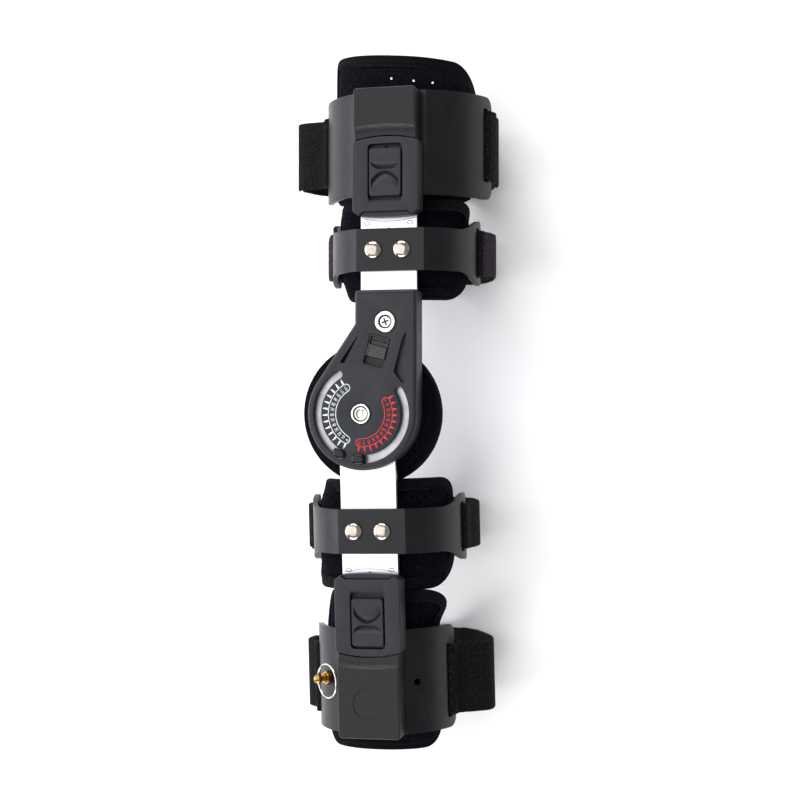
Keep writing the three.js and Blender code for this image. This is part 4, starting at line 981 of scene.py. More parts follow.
def sunkHead(name, kind):
    # a turned head with a rounded lip and a groove round its middle
    size, head, front = headShape, headShape[kind], dialShape["front"]
    radius, stem, (x, y) = head["radius"], head["stem"], head["spot"]
    rows = [[stem, size["foot"]], [stem, front - size["under"]], [radius, front - size["under"]],
            [radius, front + size["lip"]]]
    rows += [[max(share * radius, size["least"]), front + rise] for share, rise in head["rows"]]
    points, faces = lathe(roundedProfile(rows, 0.22), 64)
    piece = makePiece(name, placed(points, x, y), faces, brightNickel, sharp=50)
    if head["cross"]:
        cut = size["recess"]
        bar = roundedBox(-cut["half"] * radius, cut["half"] * radius, -cut["wide"], cut["wide"], 0.25, 4)
        carve(piece, [cutterOf(turned(bar, turn) + [x, y], [(0, front - cut["deep"]), (0, front + 2)])
                      for turn in cut["turns"]], 50)
    # faces at the bottom of the groove and of the cross recess take painted shade
    piece.data.materials.append(grooveShadePaint)
    deep, shallow = size["grooveShadeDepths"]
    for face in piece.data.polygons:
        spot = np.array(face.center) * 1000 - hingeAt - [x, y, front]
        inGroove = -deep < spot[2] < -shallow and math.hypot(*spot[:2]) < size["grooveShadeShare"] * radius
        face.material_index = int(inGroove)
    return piece


finishAs(sunkHead("hingeRivet", "rivet"), "upper_arm", ["hinge_rivet"])
finishAs(sunkHead("neckScrew", "screw"), "upper_arm", ["hinge_screw"])
print("fasteners made")


# ---- the quick lock's switch: a ribbed thumb block below a sunk window with two bars

switchShape = {"width": 10.8, "length": 11.5, "end": 42.55, "block": 6.3, "rise": 0.5, "pitch": 1.45,
               "groove": 0.3, "sunk": 1.3, "barRise": 0.8, "edge": 0.35, "ribReach": 4.6, "rim": (4.5, 1.0),
               "barAt": 8.9, "barHalf": (3.6, 0.5), "deep": 2.1}


def switchPiece(name):
    size, front = switchShape, dialShape["front"]
    half, long, edge = size["width"] / 2, size["length"], size["edge"]
    x, y = np.meshgrid(edgeSteps(2 * half, edge, 46) - half, edgeSteps(long, edge, 92))
    inset = np.minimum(half - np.abs(x), np.minimum(y, long - y))
    # ribs = groove (1 - cos(2 pi y / pitch)) / 2, faded out towards the block's borders
    ribs = size["groove"] * (0.5 - 0.5 * np.cos(2 * math.pi * y / size["pitch"]))
    ribs *= smoothStep((size["ribReach"] - np.abs(x)) / 0.5) * smoothStep(y / 0.8)
    block = size["rise"] - ribs * smoothStep((size["block"] - 0.6 - y) / 0.5)
    border = smoothStep((np.abs(x) - size["rim"][0]) / 0.4) + smoothStep((y - long + size["rim"][1]) / 0.4)
    bars = smoothStep((size["barHalf"][1] - np.abs(y - size["barAt"])) / 0.3)
    bars *= smoothStep((size["barHalf"][0] - np.abs(x)) / 0.3)
    window = -size["sunk"] + np.maximum(np.clip(border, 0, 1) * (size["sunk"] + 0.1), bars * size["barRise"])
    share = smoothStep((y - size["block"]) / 0.35)
    height = front + block * (1 - share) + window * share - cornerCut(inset, edge)
    spot = turned(np.column_stack([x.ravel(), (y + size["end"] - long).ravel()]), dialShape["turn"])
    top = np.column_stack([spot, height.ravel()]).reshape(*x.shape, 3)
    points, faces = wallsDown(top, front - size["deep"])
    return makePiece(name, points, faces, switchAbs, sharp=70)


finishAs(switchPiece("quickLockSwitch"), "quick_lock", ["quick_lock_slider"])


# ---- the dial's two stops: glossy oval buttons in the arc slots

stopShape = {"radius": 24.3, "long": 3.9, "wide": 2.85, "seat": 0.3, "rim": 0.5, "dome": 1.2,
             "extension": 240.8, "flexion": 266.9}


def stopPiece(name, angle):
    # an oval button: upright rim and a low dome
    size, front = stopShape, dialShape["front"]
    t = np.linspace(0, math.pi / 2, 9)[:-1]
    dome = np.column_stack([np.cos(t), size["rim"] + size["dome"] * np.sin(t)])
    rows = np.vstack([[[0.55, -6.2], [0.55, size["seat"]], [1.0, size["seat"]]], dome,
                      [[0.01, size["rim"] + size["dome"]]]])
    points, faces = lathe(rows, 40)
    points = points * [size["wide"], size["long"], 1] + [size["radius"], 0, front]
    return makePiece(name, points, faces, buttonAbs, turn=angle, sharp=50)


for side in ("extension", "flexion"):
    finishAs(stopPiece(side + "Stop", stopShape[side]), side + "_limit", [side + "_stop"])


# ---- dark lines on the bars, painted shade: the grooves of two small stamped ovals, and the shadow arc under the tongue in front of each lock

stampAndShadowShape = {"ovalAt": 11.85, "oval": (1.5, 0.95), "line": 0.34, "bead": (-0.05, 0.035), "arcHalf": 15.0,
              "arcRise": 1.9,
              "upper": {"ovals": 102.0, "arc": 102.9}, "lower": {"ovals": 83.8, "arc": 83.2}}


def darkShadeLine(centreLine, width, turn, closed):
    # a low bead along the line, painted dark as shade, its foot just inside the bar
    line = np.asarray(centreLine, float)
    along = unitAlong(line, closed)
    side = np.column_stack([-along[:, 1], along[:, 0]]) * width / 2
    low, high = stampAndShadowShape["bead"]
    rows = [np.column_stack([line + side * k, np.full(len(line), h)])
            for k, h in ((-1, low), (-1, high), (1, high), (1, low))]
    count = len(line)
    faces = gridFaces(count, 4, True, True) if closed else cappedFaces(count, 4)
    return makePiece("shadeLine", np.stack(rows, axis=1).reshape(-1, 3), faces, grooveShadePaint, turn)


for arm, body in (("upper", "upper_arm"), ("lower", "forearm")):
    size, across, spots = stampAndShadowShape, barAcross[arm], stampAndShadowShape[arm]
    pieces = []
    for sign in (-1, 1):
        angle = np.linspace(0, 2 * math.pi, 40, endpoint=False)
        oval = np.column_stack([across + sign * size["ovalAt"] + size["oval"][0] * np.cos(angle),
                                spots["ovals"] + size["oval"][1] * np.sin(angle)])
        pieces.append(darkShadeLine(oval, size["line"], armTurn[arm], True))
    # the arc is a painted shadow: the dark line the tongue's end casts on the bar
    x = np.linspace(-size["arcHalf"], size["arcHalf"], 40)
    arc = np.column_stack([across + x, spots["arc"] + size["arcRise"] * (x / size["arcHalf"]) ** 2])
    pieces.append(darkShadeLine(arc, size["line"] * 0.8, armTurn[arm], False))
    finishAs(joinPieces(f"{arm}BarStampsAndShadow", pieces), body)
print("switch and stamps made")


# ---- the CAD solids that keep their shape take a finish of their own

# finish and width of the broken edge in mm
finishes = {
    "upper_bar": (barMetal, 0.25), "lower_bar": (barMetal, 0.25), "hinge_back_plate": (coverAbs, 0.3),
    "plunger_sleeve": (brass, 0.25), "plunger_pin": (brass, 0.3),
}
for nodeName, (finish, edge) in finishes.items():
    nodes[nodeName].data.materials.clear()
    nodes[nodeName].data.materials.append(finish)
    rounded = nodes[nodeName].modifiers.new("broken edge", "BEVEL")
    rounded.width, rounded.segments = edge / 1000, 3
    rounded.limit_method, rounded.angle_limit = "ANGLE", math.radians(28)


# ---- the pull ring: two turns of wire wound close together through the plunger's head

ringShape = {"radius": 9.0, "wire": 0.4, "turns": 2.05, "pitch": 0.8, "ballRise": 8.6, "angle": 42.0,
             "along": 143.5, "steps": 260, "sides": 12}


def pullRing(name):
    size, cuff = ringShape, cuffOf(loops["lowerWide"])
    reach = cuff["radius"] + size["ballRise"]
    tilt = math.radians(size["angle"])
    ball = np.array([cuff["across"] + reach * math.sin(tilt), size["along"],
                     cuff["centreZ"] + reach * math.cos(tilt)])
    side = barAcross["lower"] + bossShape["half"] + 1.05
    rise = math.acos((ball[0] - side) / (2 * size["radius"]))
    outward = np.array([-math.cos(rise), 0, math.sin(rise)])
    axis = np.array([math.sin(rise), 0, math.cos(rise)])
    phase = np.linspace(0, 2 * math.pi * size["turns"], size["steps"])
    ray = -outward * np.cos(phase)[:, None] + np.array([0, 1, 0]) * np.sin(phase)[:, None]
    middle = ball + outward * size["radius"] + ray * size["radius"]
    middle = middle + axis * (size["pitch"] * (phase / phase[-1] - 0.5) * size["turns"])[:, None] * 0.5
    around = np.linspace(0, 2 * math.pi, size["sides"], endpoint=False)[:, None]
    tube = middle[:, None] + size["wire"] * (ray[:, None] * np.cos(around) + axis * np.sin(around))
    return makePiece(name, tube.reshape(-1, 3), cappedFaces(size["steps"], size["sides"]), ringSteel,
                     armTurn["lower"], sharp=60)


finishAs(pullRing("splitRing"), "ring", ["pull_ring"])


# ---- pads: C-shaped foam pads under velour, their edge thinned under a tape binding

padShape = {"thick": 7.0, "square": 2.2, "end": 10.0, "rim": 1.3, "swell": 8.0,
            "voxelMm": 2.6, "pressure": 4.0, "capMm": 1.1, "slim": 0.86}
padTable = {
    "upperWide": {"behind": -6.4, "low": 115.6, "high": 193.2, "slant": 7.0, "hold": (118, 173.5),
                  "lowSplay": (0, 0, 0), "highSplay": (0.4, -3.2, -6.6), "lowCorner": (10, 10),
                  "highCorner": (6, 12), "body": "upper_cuff", "node": "upper_shell_pad",
                  "holes": [(15.0, 179.1), (27.3, 177.2), (37.7, 175.6)]},
    "upperNarrow": {"behind": -5.7, "low": 62.3, "high": 114.4, "slant": 0, "hold": (76, 105.5),
                    "lowSplay": (-4.6, 0, -1), "highSplay": (0, -0.6, 7.5), "lowCorner": (12, 16),
                    "highCorner": (10, 14), "body": "upper_arm", "node": "upper_band_pad"},
    "lowerNarrow": {"behind": -3.0, "low": 36.5, "high": 94.4, "slant": 0, "hold": (51, 81.5),
                    "lowSplay": (0, 0, -3.4), "highSplay": (-1.5, -0.6, 1), "lowCorner": (8, 8),
                    "highCorner": (18, 8), "body": "forearm", "node": "lower_band_pad"},
    "lowerWide": {"behind": -6.4, "low": 96.4, "high": 181.4, "slant": 0, "hold": (115.5, 172.5),
                  "lowSplay": (14.5, 0, -3), "highSplay": (-1.6, -1.6, -1.6), "lowCorner": (12, 10),
                  "highCorner": (9, 9), "body": "forearm_cuff", "node": "lower_shell_pad"},
}


def padLine(loop, pad):
    # a superellipse behind the cuff from slot to slot, by equal distances
    cuff = cuffOf(loop)
    half = cuff["radius"] - cuff["wall"] / 2 - 0.4 - padShape["thick"] / 2
    rise = pad["behind"] - 0.3 - cuff["centreZ"] - padShape["thick"] / 2
    end = cuff["slotAngle"] - (wingShape["slot"] / 2 + 0.9) / cuff["radius"]
    angle = np.linspace(-end, end, 600)
    power = 2 / padShape["square"]
    x = cuff["across"] + half * np.sign(np.sin(angle)) * np.abs(np.sin(angle)) ** power
    z = cuff["centreZ"] + rise * np.sign(np.cos(angle)) * np.abs(np.cos(angle)) ** power
    length = np.concatenate([[0], np.cumsum(np.hypot(np.diff(x), np.diff(z)))])
    return x, z, length, half


def acrossPad(values, side):
    # from the middle's value to the left or right end's, by the square of the way there
    left, middle, right = values
    return middle + (np.where(side < 0, left, right) - middle) * side ** 2


def padField(loop, pad, u, v):
    # the pad's middle surface at distance u round the arm and share v along it, with its
    # outward normal; beyond the cuff its edges stand out by their splay
    x, z, length, half = padLine(loop, pad)
    total = length[-1]
    px, pz = np.interp(u, length, x), np.interp(u, length, z)
    dx = np.interp(u + 0.5, length, x) - np.interp(u - 0.5, length, x)
    dz = np.interp(u + 0.5, length, z) - np.interp(u - 0.5, length, z)
    size = np.hypot(dx, dz)
    nx, nz = -dz / size, dx / size
    side = (px - cuffOf(loop)["across"]) / half
    end = (side > 0).astype(int)
    fromEnd = np.minimum(u, total - u)
    low = pad["low"] + 0 * px
    if pad["node"] == "lower_band_pad":
        # it gives way to the round pad behind the dial
        low = np.maximum(low, np.sqrt(np.maximum(40.5 ** 2 - px ** 2, 0)))
    low = low + cornerCut(fromEnd, np.array(pad["lowCorner"])[end])
    high = pad["high"] - pad["slant"] * side / 2 - cornerCut(fromEnd, np.array(pad["highCorner"])[end])
    y = low + (high - low) * v
    holdLow, holdHigh = pad["hold"]
    lowOut = acrossPad(pad["lowSplay"], side) * np.clip((holdLow - y) / (holdLow - pad["low"]), 0, 1)
    highOut = acrossPad(pad["highSplay"], side) * np.clip((y - holdHigh) / (pad["high"] - holdHigh), 0, 1)
    out = lowOut + highOut
    return np.stack([px + nx * out, y, pz + nz * out], axis=-1), np.stack([nx, 0 * nx, nz], axis=-1), low, high


def padPiece(name, loop, pad):
    total = padLine(loop, pad)[2][-1]
    corner = padShape["end"]
    ends = corner * (1 - np.cos(np.linspace(0, math.pi / 2, 9)))
    u = np.concatenate([ends, np.linspace(corner, total - corner, 52)[1:-1], (total - ends)[::-1]])
    height = pad["high"] - pad["low"]
    v = 0.5 - 0.5 * np.cos(math.pi * np.linspace(0, 1, int(height / 2)))
    gridU, gridV = np.meshgrid(u, v, indexing="ij")
    middle, normal, low, high = padField(loop, pad, gridU, gridV)
    edge = np.minimum(np.minimum(gridU, total - gridU) + 0 * gridV, np.minimum(gridV, 1 - gridV) * (high - low))
    full = padShape["thick"] / 2 * padShape["slim"]
    half = padShape["rim"] + (full - padShape["rim"]) * smoothStep((edge - 4.5) / padShape["swell"])
    outer, inner = middle + normal * half[..., None], middle - normal * half[..., None]
    rows, columns = gridU.shape
    ring = np.concatenate([outer, inner[:, ::-1]], axis=1)
    k = np.arange(columns - 1)
    cap = np.stack([k, k + 1, 2 * columns - 2 - k, 2 * columns - 1 - k], axis=-1)
    faces = np.vstack([gridFaces(rows, 2 * columns, closedColumns=True), cap, cap + (rows - 1) * 2 * columns])
    piece = makePiece(name, ring.reshape(-1, 3), faces, padVelour, armTurn[loop["arm"]], sharp=80)
    swellPad(piece)
    if pad.get("holes"):
        piece = carve(piece, [punchedHole(*spot) for spot in pad["holes"]], 80)
    addClothPlace(piece, loop, pad)
    return piece


def punchedHole(x, y):
    # a 1.2 mm punch through the pad, slanting towards the eye so that light comes through
    points, faces = ringSolid(arcPoints(0, 0, 0.62, 0, 330, 12), [(0, -30), (0, 10)])
    slant = (eyeAt[:2] - [x, y]) / eyeAt[2]
    points[:, :2] += points[:, 2:] * slant
    return makePiece("cutter", points + [x, y, 0], faces, plainTool)


def swellPad(piece):
    # foam under the cover: the slimmer pad is remeshed, blown up as cloth,
    # and no point moves further than the cap
    remesh = piece.modifiers.new("remesh", "REMESH")
    remesh.mode, remesh.voxel_size = "VOXEL", padShape["voxelMm"] / 1000
    bpy.context.view_layer.update()
    applyModifiers(piece)
    rest = readPoints(piece.data)
    cloth = piece.modifiers.new("foam", "CLOTH")
    cloth.settings.use_pressure = True
    cloth.settings.uniform_pressure_force = padShape["pressure"]
    cloth.settings.tension_stiffness = 40
    cloth.settings.bending_stiffness = 2
    cloth.settings.effector_weights.gravity = 0
    for step in range(1, 21):
        bpy.context.scene.frame_set(step)
    applyModifiers(piece)
    bpy.context.scene.frame_set(1)
    move = readPoints(piece.data) - rest
    reach = np.linalg.norm(move, axis=1)
    cap = padShape["capMm"] / 1000
    move *= (np.minimum(reach, cap) / np.maximum(reach, 1e-9))[:, None]
    piece.data.vertices.foreach_set("co", (rest + move).ravel())
    smooth = piece.modifiers.new("smooth", "SUBSURF")
    smooth.levels = smooth.render_levels = 1
    bpy.context.view_layer.update()
    applyModifiers(piece)
    roundShading(piece, 80)


def addClothPlace(piece, loop, pad):
    # each corner's place on the flat cloth: distance round the arm by place along it
    x, z, length, _ = padLine(loop, pad)
    local = readPoints(piece.data) * 1000 - hingeAt
    back = turned(local[:, :2], -armTurn[loop["arm"]])
    gap = (back[:, :1] - x[::3]) ** 2 + (local[:, 2:] - z[::3]) ** 2
    writeCloth(piece.data, np.column_stack([length[::3][gap.argmin(1)], back[:, 1]]))


def padRim(loop, pad):
    # the pad's border as a closed line with the outward direction in its surface and its
    # normal: up one side, over the end, and back
    total = padLine(loop, pad)[2][-1]
    corner = padShape["end"]
    turn = corner * (1 - np.cos(np.linspace(0, math.pi / 2, 12)))
    u = np.concatenate([turn, np.linspace(corner, total - corner, 90)[1:-1], (total - turn)[::-1]])
    side = np.linspace(0, 1, 32)[1:-1]
    uu = np.concatenate([u, np.full(30, total), u[::-1], np.full(30, 0.0)])
    vv = np.concatenate([np.zeros(len(u)), side, np.ones(len(u)), side[::-1]])
    line, normal, _, _ = padField(loop, pad, uu, vv)
    for _ in range(3):
        line = line * 0.5 + 0.25 * (np.roll(line, 1, axis=0) + np.roll(line, -1, axis=0))
    out = np.cross(unitAlong(line, True), normal)
    out /= np.linalg.norm(out, axis=1)[:, None]
    return line, out, normal


bindingShape = {"deep": 5.6, "proud": 0.55, "ridge": 0.35, "tape": 0.5, "stitch": 2.6, "stitchIn": 4.7,
                "stitchHalf": 0.22, "width": 14.5}


def bindingPiece(name, line, out, normal, turn, rim):
    # a tape folded over the edge and sewn down: an open U carried round the pad's border,
    # with two low ridges along it and its sewn edge drawn in
    size = bindingShape
    t = np.linspace(-1, 1, 37)
    deep = np.clip((np.abs(t) - 0.25) / 0.75, 0, 1)
    reach = np.where(np.abs(t) < 0.25, 0.9 * np.cos(t / 0.25 * math.pi / 2), -deep * size["deep"])
    ridges = size["ridge"] * (np.cos(deep * 4 * math.pi) * 0.5 - 0.5) - 0.35 * deep ** 6
    lift = np.where(np.abs(t) < 0.25, (rim + size["proud"]) * np.sin(t / 0.25 * math.pi / 2),
                    np.sign(t) * (rim + size["proud"] + ridges + 0.55 * deep))
    points = line[:, None] + out[:, None] * reach[None, :, None] + normal[:, None] * lift[None, :, None]
    uv = np.stack(np.meshgrid(lengthAlong(line), t * 7, indexing="ij"), axis=-1)
    piece = makePiece(name, points.reshape(-1, 3), gridFaces(len(line), len(t), closedRows=True), binding, turn,
                      uv=uv.reshape(-1, 2), closed=False, sharp=80)
    wall = piece.modifiers.new("tape", "SOLIDIFY")
    wall.thickness, wall.offset = size["tape"] / 1000, 0
    return piece


def stitchPiece(name, line, out, normal, turn, rim):
    # a row of short raised stitches along the binding's sewn edge, on both faces
    size = bindingShape
    length = lengthAlong(line)
    at = np.arange(0.6, length[-1] - 2, size["stitch"])
    sides, t = 6, np.array([-1, -0.75, 0, 0.75, 1.0])
    angle = np.linspace(0, 2 * math.pi, sides, endpoint=False)[:, None]
    # a stitch's half width = stitchHalf (1 - 0.96 t^2)^(1/2), t from its one end to the other
    thin = size["stitchHalf"] * np.sqrt(1 - 0.96 * t ** 2)
    points = []
    for face in (1, -1):
        spot = pointsAt(at[:, None] + t * 0.75, length, line)
        side, up = pointsAt(at, length, out), pointsAt(at, length, normal) * face
        middle = spot - side[:, None] * size["stitchIn"] + up[:, None] * (rim + size["proud"] + 0.42)
        around = side[:, None, None] * np.cos(angle) + up[:, None, None] * np.sin(angle)
        points.append((middle[:, :, None] + thin[None, :, None, None] * around).reshape(-1, 3))
    points = np.vstack(points)
    each, ring = cappedFaces(len(t), sides), len(t) * sides
    faces = [[k + start for k in face] for start in range(0, len(points), ring) for face in each]
    return makePiece(name, points, faces, thread, turn, uv=points[:, :2], sharp=80)


def bindPad(cushion, body, line, out, normal, turn, rim):
    # tape and stitches round a pad, named after it
    name = cushion.name
    tape = bindingPiece(name + "Binding", line, out, normal, turn, rim)
    finishAs(tape, body)
    finishAs(stitchPiece(name + "Stitches", line, out, normal, turn, rim), body)


for loopName, pad in padTable.items():
    loop = loops[loopName]
    cushion = padPiece(loopName + "Pad", loop, pad)
    finishAs(cushion, pad["body"], [pad["node"]])
    bindPad(cushion, pad["body"], *padRim(loop, pad), armTurn[loop["arm"]], padShape["rim"])


# the round pad behind the dial: domed foam between two velour faces, bound at its rim
hingePad = {"shift": 1.2, "radius": 39.0, "front": -6.0, "back": -18.0, "rimThick": 4.6, "rim": 1.9}


def roundPad():
    size = hingePad
    slim = padShape["slim"]
    middle, half = (size["front"] + size["back"]) / 2, (size["front"] - size["back"]) / 2 - 0.1
    r = size["radius"] - 1.2
    radius = np.concatenate([np.linspace(0.05, r - 8, 16), r - 8 * (1 - np.linspace(0.1, 1, 14))])
    # half thickness = rim + (half - rim) (1 - (r / R)^6)^(1/2)
    lift = size["rim"] + (half * slim - size["rim"]) * np.sqrt(np.maximum(1 - (radius / r) ** 6, 0))
    rows = np.vstack([np.column_stack([radius, middle - lift]), np.column_stack([radius, middle + lift])[::-1]])
    points, faces = lathe(rows, 96)
    piece = makePiece("hingeCushion", placed(points, size["shift"], 0), faces, padVelour, sharp=80)
    swellPad(piece)
    writeCloth(piece.data, (readPoints(piece.data) * 1000 - hingeAt)[:, :2])
    angle = np.linspace(0, 2 * math.pi, 220, endpoint=False)
    out = np.column_stack([np.cos(angle), np.sin(angle), 0 * angle])
    line = out * (size["radius"] - 1.1) + [size["shift"], 0, middle]
    return piece, line, out, np.tile([0, 0, 1.0], (220, 1))


cushion, *border = roundPad()
finishAs(cushion, "upper_arm", ["hinge_pad"])
bindPad(cushion, "upper_arm", *border, 0, hingePad["rim"])
print("pads made")


# ---- straps: one length of webbing through both slots, folded back and sewn to itself

strapShape = {"thick": 2.1, "lap": 26.0,
              "free": [(1, 0.16), (1, 0.36), (0.86, 0.66), (0.6, 0.95), (0.3, 1)]}


def smoothLine(points, steps=50):
    # centripetal Catmull-Rom through the points, by Barry and Goldman's pyramid
    points = np.asarray(points, float)
    padded = np.vstack([2 * points[0] - points[1], points, 2 * points[-1] - points[-2]])
    knots = np.concatenate([[0], np.cumsum(np.linalg.norm(np.diff(padded, axis=0), axis=1) ** 0.5)])
    out = []
    for i in range(1, len(padded) - 2):
        p, k = padded[i - 1:i + 3], knots[i - 1:i + 3]
        t = np.linspace(k[1], k[2], steps, endpoint=False)[:, None]
        # each level mixes neighbours by t's place between their knots
        a = [((k[j + 1] - t) * p[j] + (t - k[j]) * p[j + 1]) / (k[j + 1] - k[j]) for j in range(3)]
        b = [((k[j + 2] - t) * a[j] + (t - k[j]) * a[j + 1]) / (k[j + 2] - k[j]) for j in range(2)]
        out.append(((k[2] - t) * b[0] + (t - k[1]) * b[1]) / (k[2] - k[1]))
    return np.vstack(out + [points[-1:]])


def strapLine(loop):
    # the loop's middle line from slot to slot, by equal distances, with its normal
    cuff, thick = cuffOf(loop), strapShape["thick"]
    fold = cuff["slotAngle"] + (wingShape["slot"] / 2 - 0.3 - thick) / cuff["radius"]
    floor = -floorDepth + thick / 2
    endZ = cuff["centreZ"] + cuff["radius"] * math.cos(cuff["end"])
    half = cuff["radius"] + cuff["wall"] / 2

    def side(sign, slack):
        angle = fold + (cuff["end"] + 1.2 / cuff["radius"] - fold) * np.array([0, 0.5, 1])
        wing = np.column_stack([cuff["across"] + sign * cuff["radius"] * np.sin(angle),
                                cuff["centreZ"] + cuff["radius"] * np.cos(angle)])
        free = [[cuff["across"] + sign * reach * (half + slack - thick), endZ + (floor - endZ) * down]
                for reach, down in strapShape["free"]]
        return np.vstack([wing, free])

    line = smoothLine(np.vstack([side(-1, loop["slackLeft"]), [[cuff["across"], floor]],
                                 side(1, loop["slackRight"])[::-1]]))
    line[:, 1] = np.maximum(line[:, 1], floor)
    barEnd, stack = (cuff["end"] - fold) * cuff["radius"] + 0.3, cuff["wall"] + 2 * (0.3 + thick)
    return line, lengthAlong(line), barEnd, stack


def strapCourse(loop):
    # the webbing's own centre line: back along the outside lap, through the slot, round the
    # arm on the inside, out through the other slot and back along its lap
    line, length, barEnd, stack = strapLine(loop)
    thick, total = strapShape["thick"], length[-1]
    floor = -floorDepth

    def lapEnd(sign):
        return barEnd + strapShape["lap"] * (3 if loop["doubled"] == sign else 1)

    def spacing(distance, sign):
        end = lapEnd(sign)
        return np.interp(distance, [0, barEnd + 0.6, barEnd + 7, end, end + 3],
                         [(stack - thick) / 2, (stack - thick) / 2, thick / 2 + 0.03, thick / 2 + 0.03, 0])

    def at(distance, offset):
        along = pointsAt(distance + 0.6, length, line) - pointsAt(distance - 0.6, length, line)
        along /= np.linalg.norm(along, axis=1)[:, None]
        outward = np.column_stack([along[:, 1], -along[:, 0]])
        return pointsAt(distance, length, line) + outward * np.reshape(offset, (-1, 1))

    def turnAt(sign):
        # distances from this end and offsets of the lap and of the turn through the slot
        corner, mid = 1.0, thick / 2 + 0.15
        lap = np.arange(lapEnd(sign) - 0.6, mid + corner, -2.0)
        quarter = np.linspace(0, math.pi / 2, 5)
        top = (stack - thick) / 2
        distance = np.concatenate([lap, mid + corner - corner * np.sin(quarter),
                                   mid + corner - corner * np.cos(quarter)])
        offset = np.concatenate([spacing(lap, sign), top - corner + corner * np.cos(quarter),
                                 -top + corner - corner * np.sin(quarter)])
        return distance, offset

    startDistance, startOffset = turnAt(-1)
    endDistance, endOffset = turnAt(1)
    middle = np.arange(thick / 2 + 2.4, total - thick / 2 - 2.4, 2.0)
    middleOffset = -spacing(middle, -1) - spacing(total - middle, 1)
    course = np.vstack([
        at(startDistance, startOffset), at(middle, middleOffset),
        at(total - endDistance[::-1], endOffset[::-1]),
    ])
    course[:, 1] = np.maximum(course[:, 1], floor + thick / 2)
    return course


def webbingPiece(name, loop):
    # a rounded flat section carried along the course, its edges wandering a little
    course = strapCourse(loop)
    keep = np.concatenate([[True], np.linalg.norm(np.diff(course, axis=0), axis=1) > 0.12])
    course = course[keep]
    along = unitAlong(course)
    normal = np.column_stack([-along[:, 1], along[:, 0]])
    length = lengthAlong(course)
    half, thick = loop["strap"] / 2, strapShape["thick"] / 2 - 0.06
    across = np.concatenate([np.linspace(-half + 0.7, half - 0.7, 15), [half - 0.25, half, half - 0.25]])
    lift = np.concatenate([np.full(15, thick), [0.75 * thick, 0, -0.75 * thick]])
    across = np.concatenate([across, across[:15][::-1], [-half + 0.25, -half, -half + 0.25]])
    lift = np.concatenate([lift, np.full(15, -thick), [-0.75 * thick, 0, 0.75 * thick]])
    wander = 0.35 * np.sin(length / 9.0 + loop["along"]) + 0.2 * np.sin(length / 3.7)
    x = course[:, :1] + normal[:, :1] * lift
    z = course[:, 1:] + normal[:, 1:] * lift
    y = loop["strapAlong"] + across[None] + wander[:, None] * np.abs(across[None] / half) ** 3 * 0.5
    points = np.stack([x, y, z], axis=-1)
    uv = np.stack(np.meshgrid(length, across, indexing="ij"), axis=-1)
    piece = makePiece(name, points.reshape(-1, 3), cappedFaces(*x.shape), webbing, armTurn[loop["arm"]],
                      uv=uv.reshape(-1, 2), sharp=60)
    return piece, float(length[-1])


def fibrePiece(name, loop):
    # loose fibres along both edges of the webbing, each a thin spike
    rng = np.random.default_rng(int(loop["along"] * 10))
    course = strapCourse(loop)
    length = lengthAlong(course)
    count = int(length[-1] * 5)
    at = rng.uniform(1, length[-1] - 1, count)
    side = rng.choice([-1.0, 1.0], count)
    x, z = (np.interp(at, length, course[:, k]) + rng.uniform(-0.5, 0.5, count) for k in (0, 1))
    root = np.column_stack([x, loop["strapAlong"] + side * (loop["strap"] / 2 - 0.15), z])
    way = np.column_stack([rng.normal(0, 0.5, count), side, rng.normal(0, 0.5, count)])
    way /= np.linalg.norm(way, axis=1)[:, None]
    across = np.cross(way, rng.normal(0, 1, (count, 3)))
    across *= (rng.uniform(0.05, 0.09, count) / np.linalg.norm(across, axis=1))[:, None]
    other = np.cross(way, across)
    tip = root + way * rng.uniform(0.25, 0.95, count)[:, None]
    points = np.stack([root + across, root - 0.5 * across + 0.87 * other,
                       root - 0.5 * across - 0.87 * other, tip], axis=1)
    each = np.array([[0, 1, 3], [1, 2, 3], [2, 0, 3], [0, 2, 1]])
    faces = (each[None] + 4 * np.arange(count)[:, None, None]).reshape(-1, 3)
    return makePiece(name, points.reshape(-1, 3), faces, fibre, armTurn[loop["arm"]], sharp=180)


straps = {"upperWide": ("upper_cuff", "upper_shell_strap"), "upperNarrow": ("upper_arm", "upper_band_strap"),
          "lowerNarrow": ("forearm", "lower_band_strap"), "lowerWide": ("forearm_cuff", "lower_shell_strap")}
for loopName, (body, node) in straps.items():
    strap, length = webbingPiece(loopName + "Strap", loops[loopName])
    finishAs(strap, body, [node])
    finishAs(fibrePiece(loopName + "StrapFibres", loops[loopName]), body)
print("straps made")


# ---- hook tape sewn over the laps of the narrow upper strap, its inner edge zigzag stitched

hookShape = {"from": 0.8, "long": 22.0, "thick": 0.9, "in": 0.4, "zigzag": 1.5,
             "zigzagFrom": (0.2, 2.2), "threadWide": 0.28}


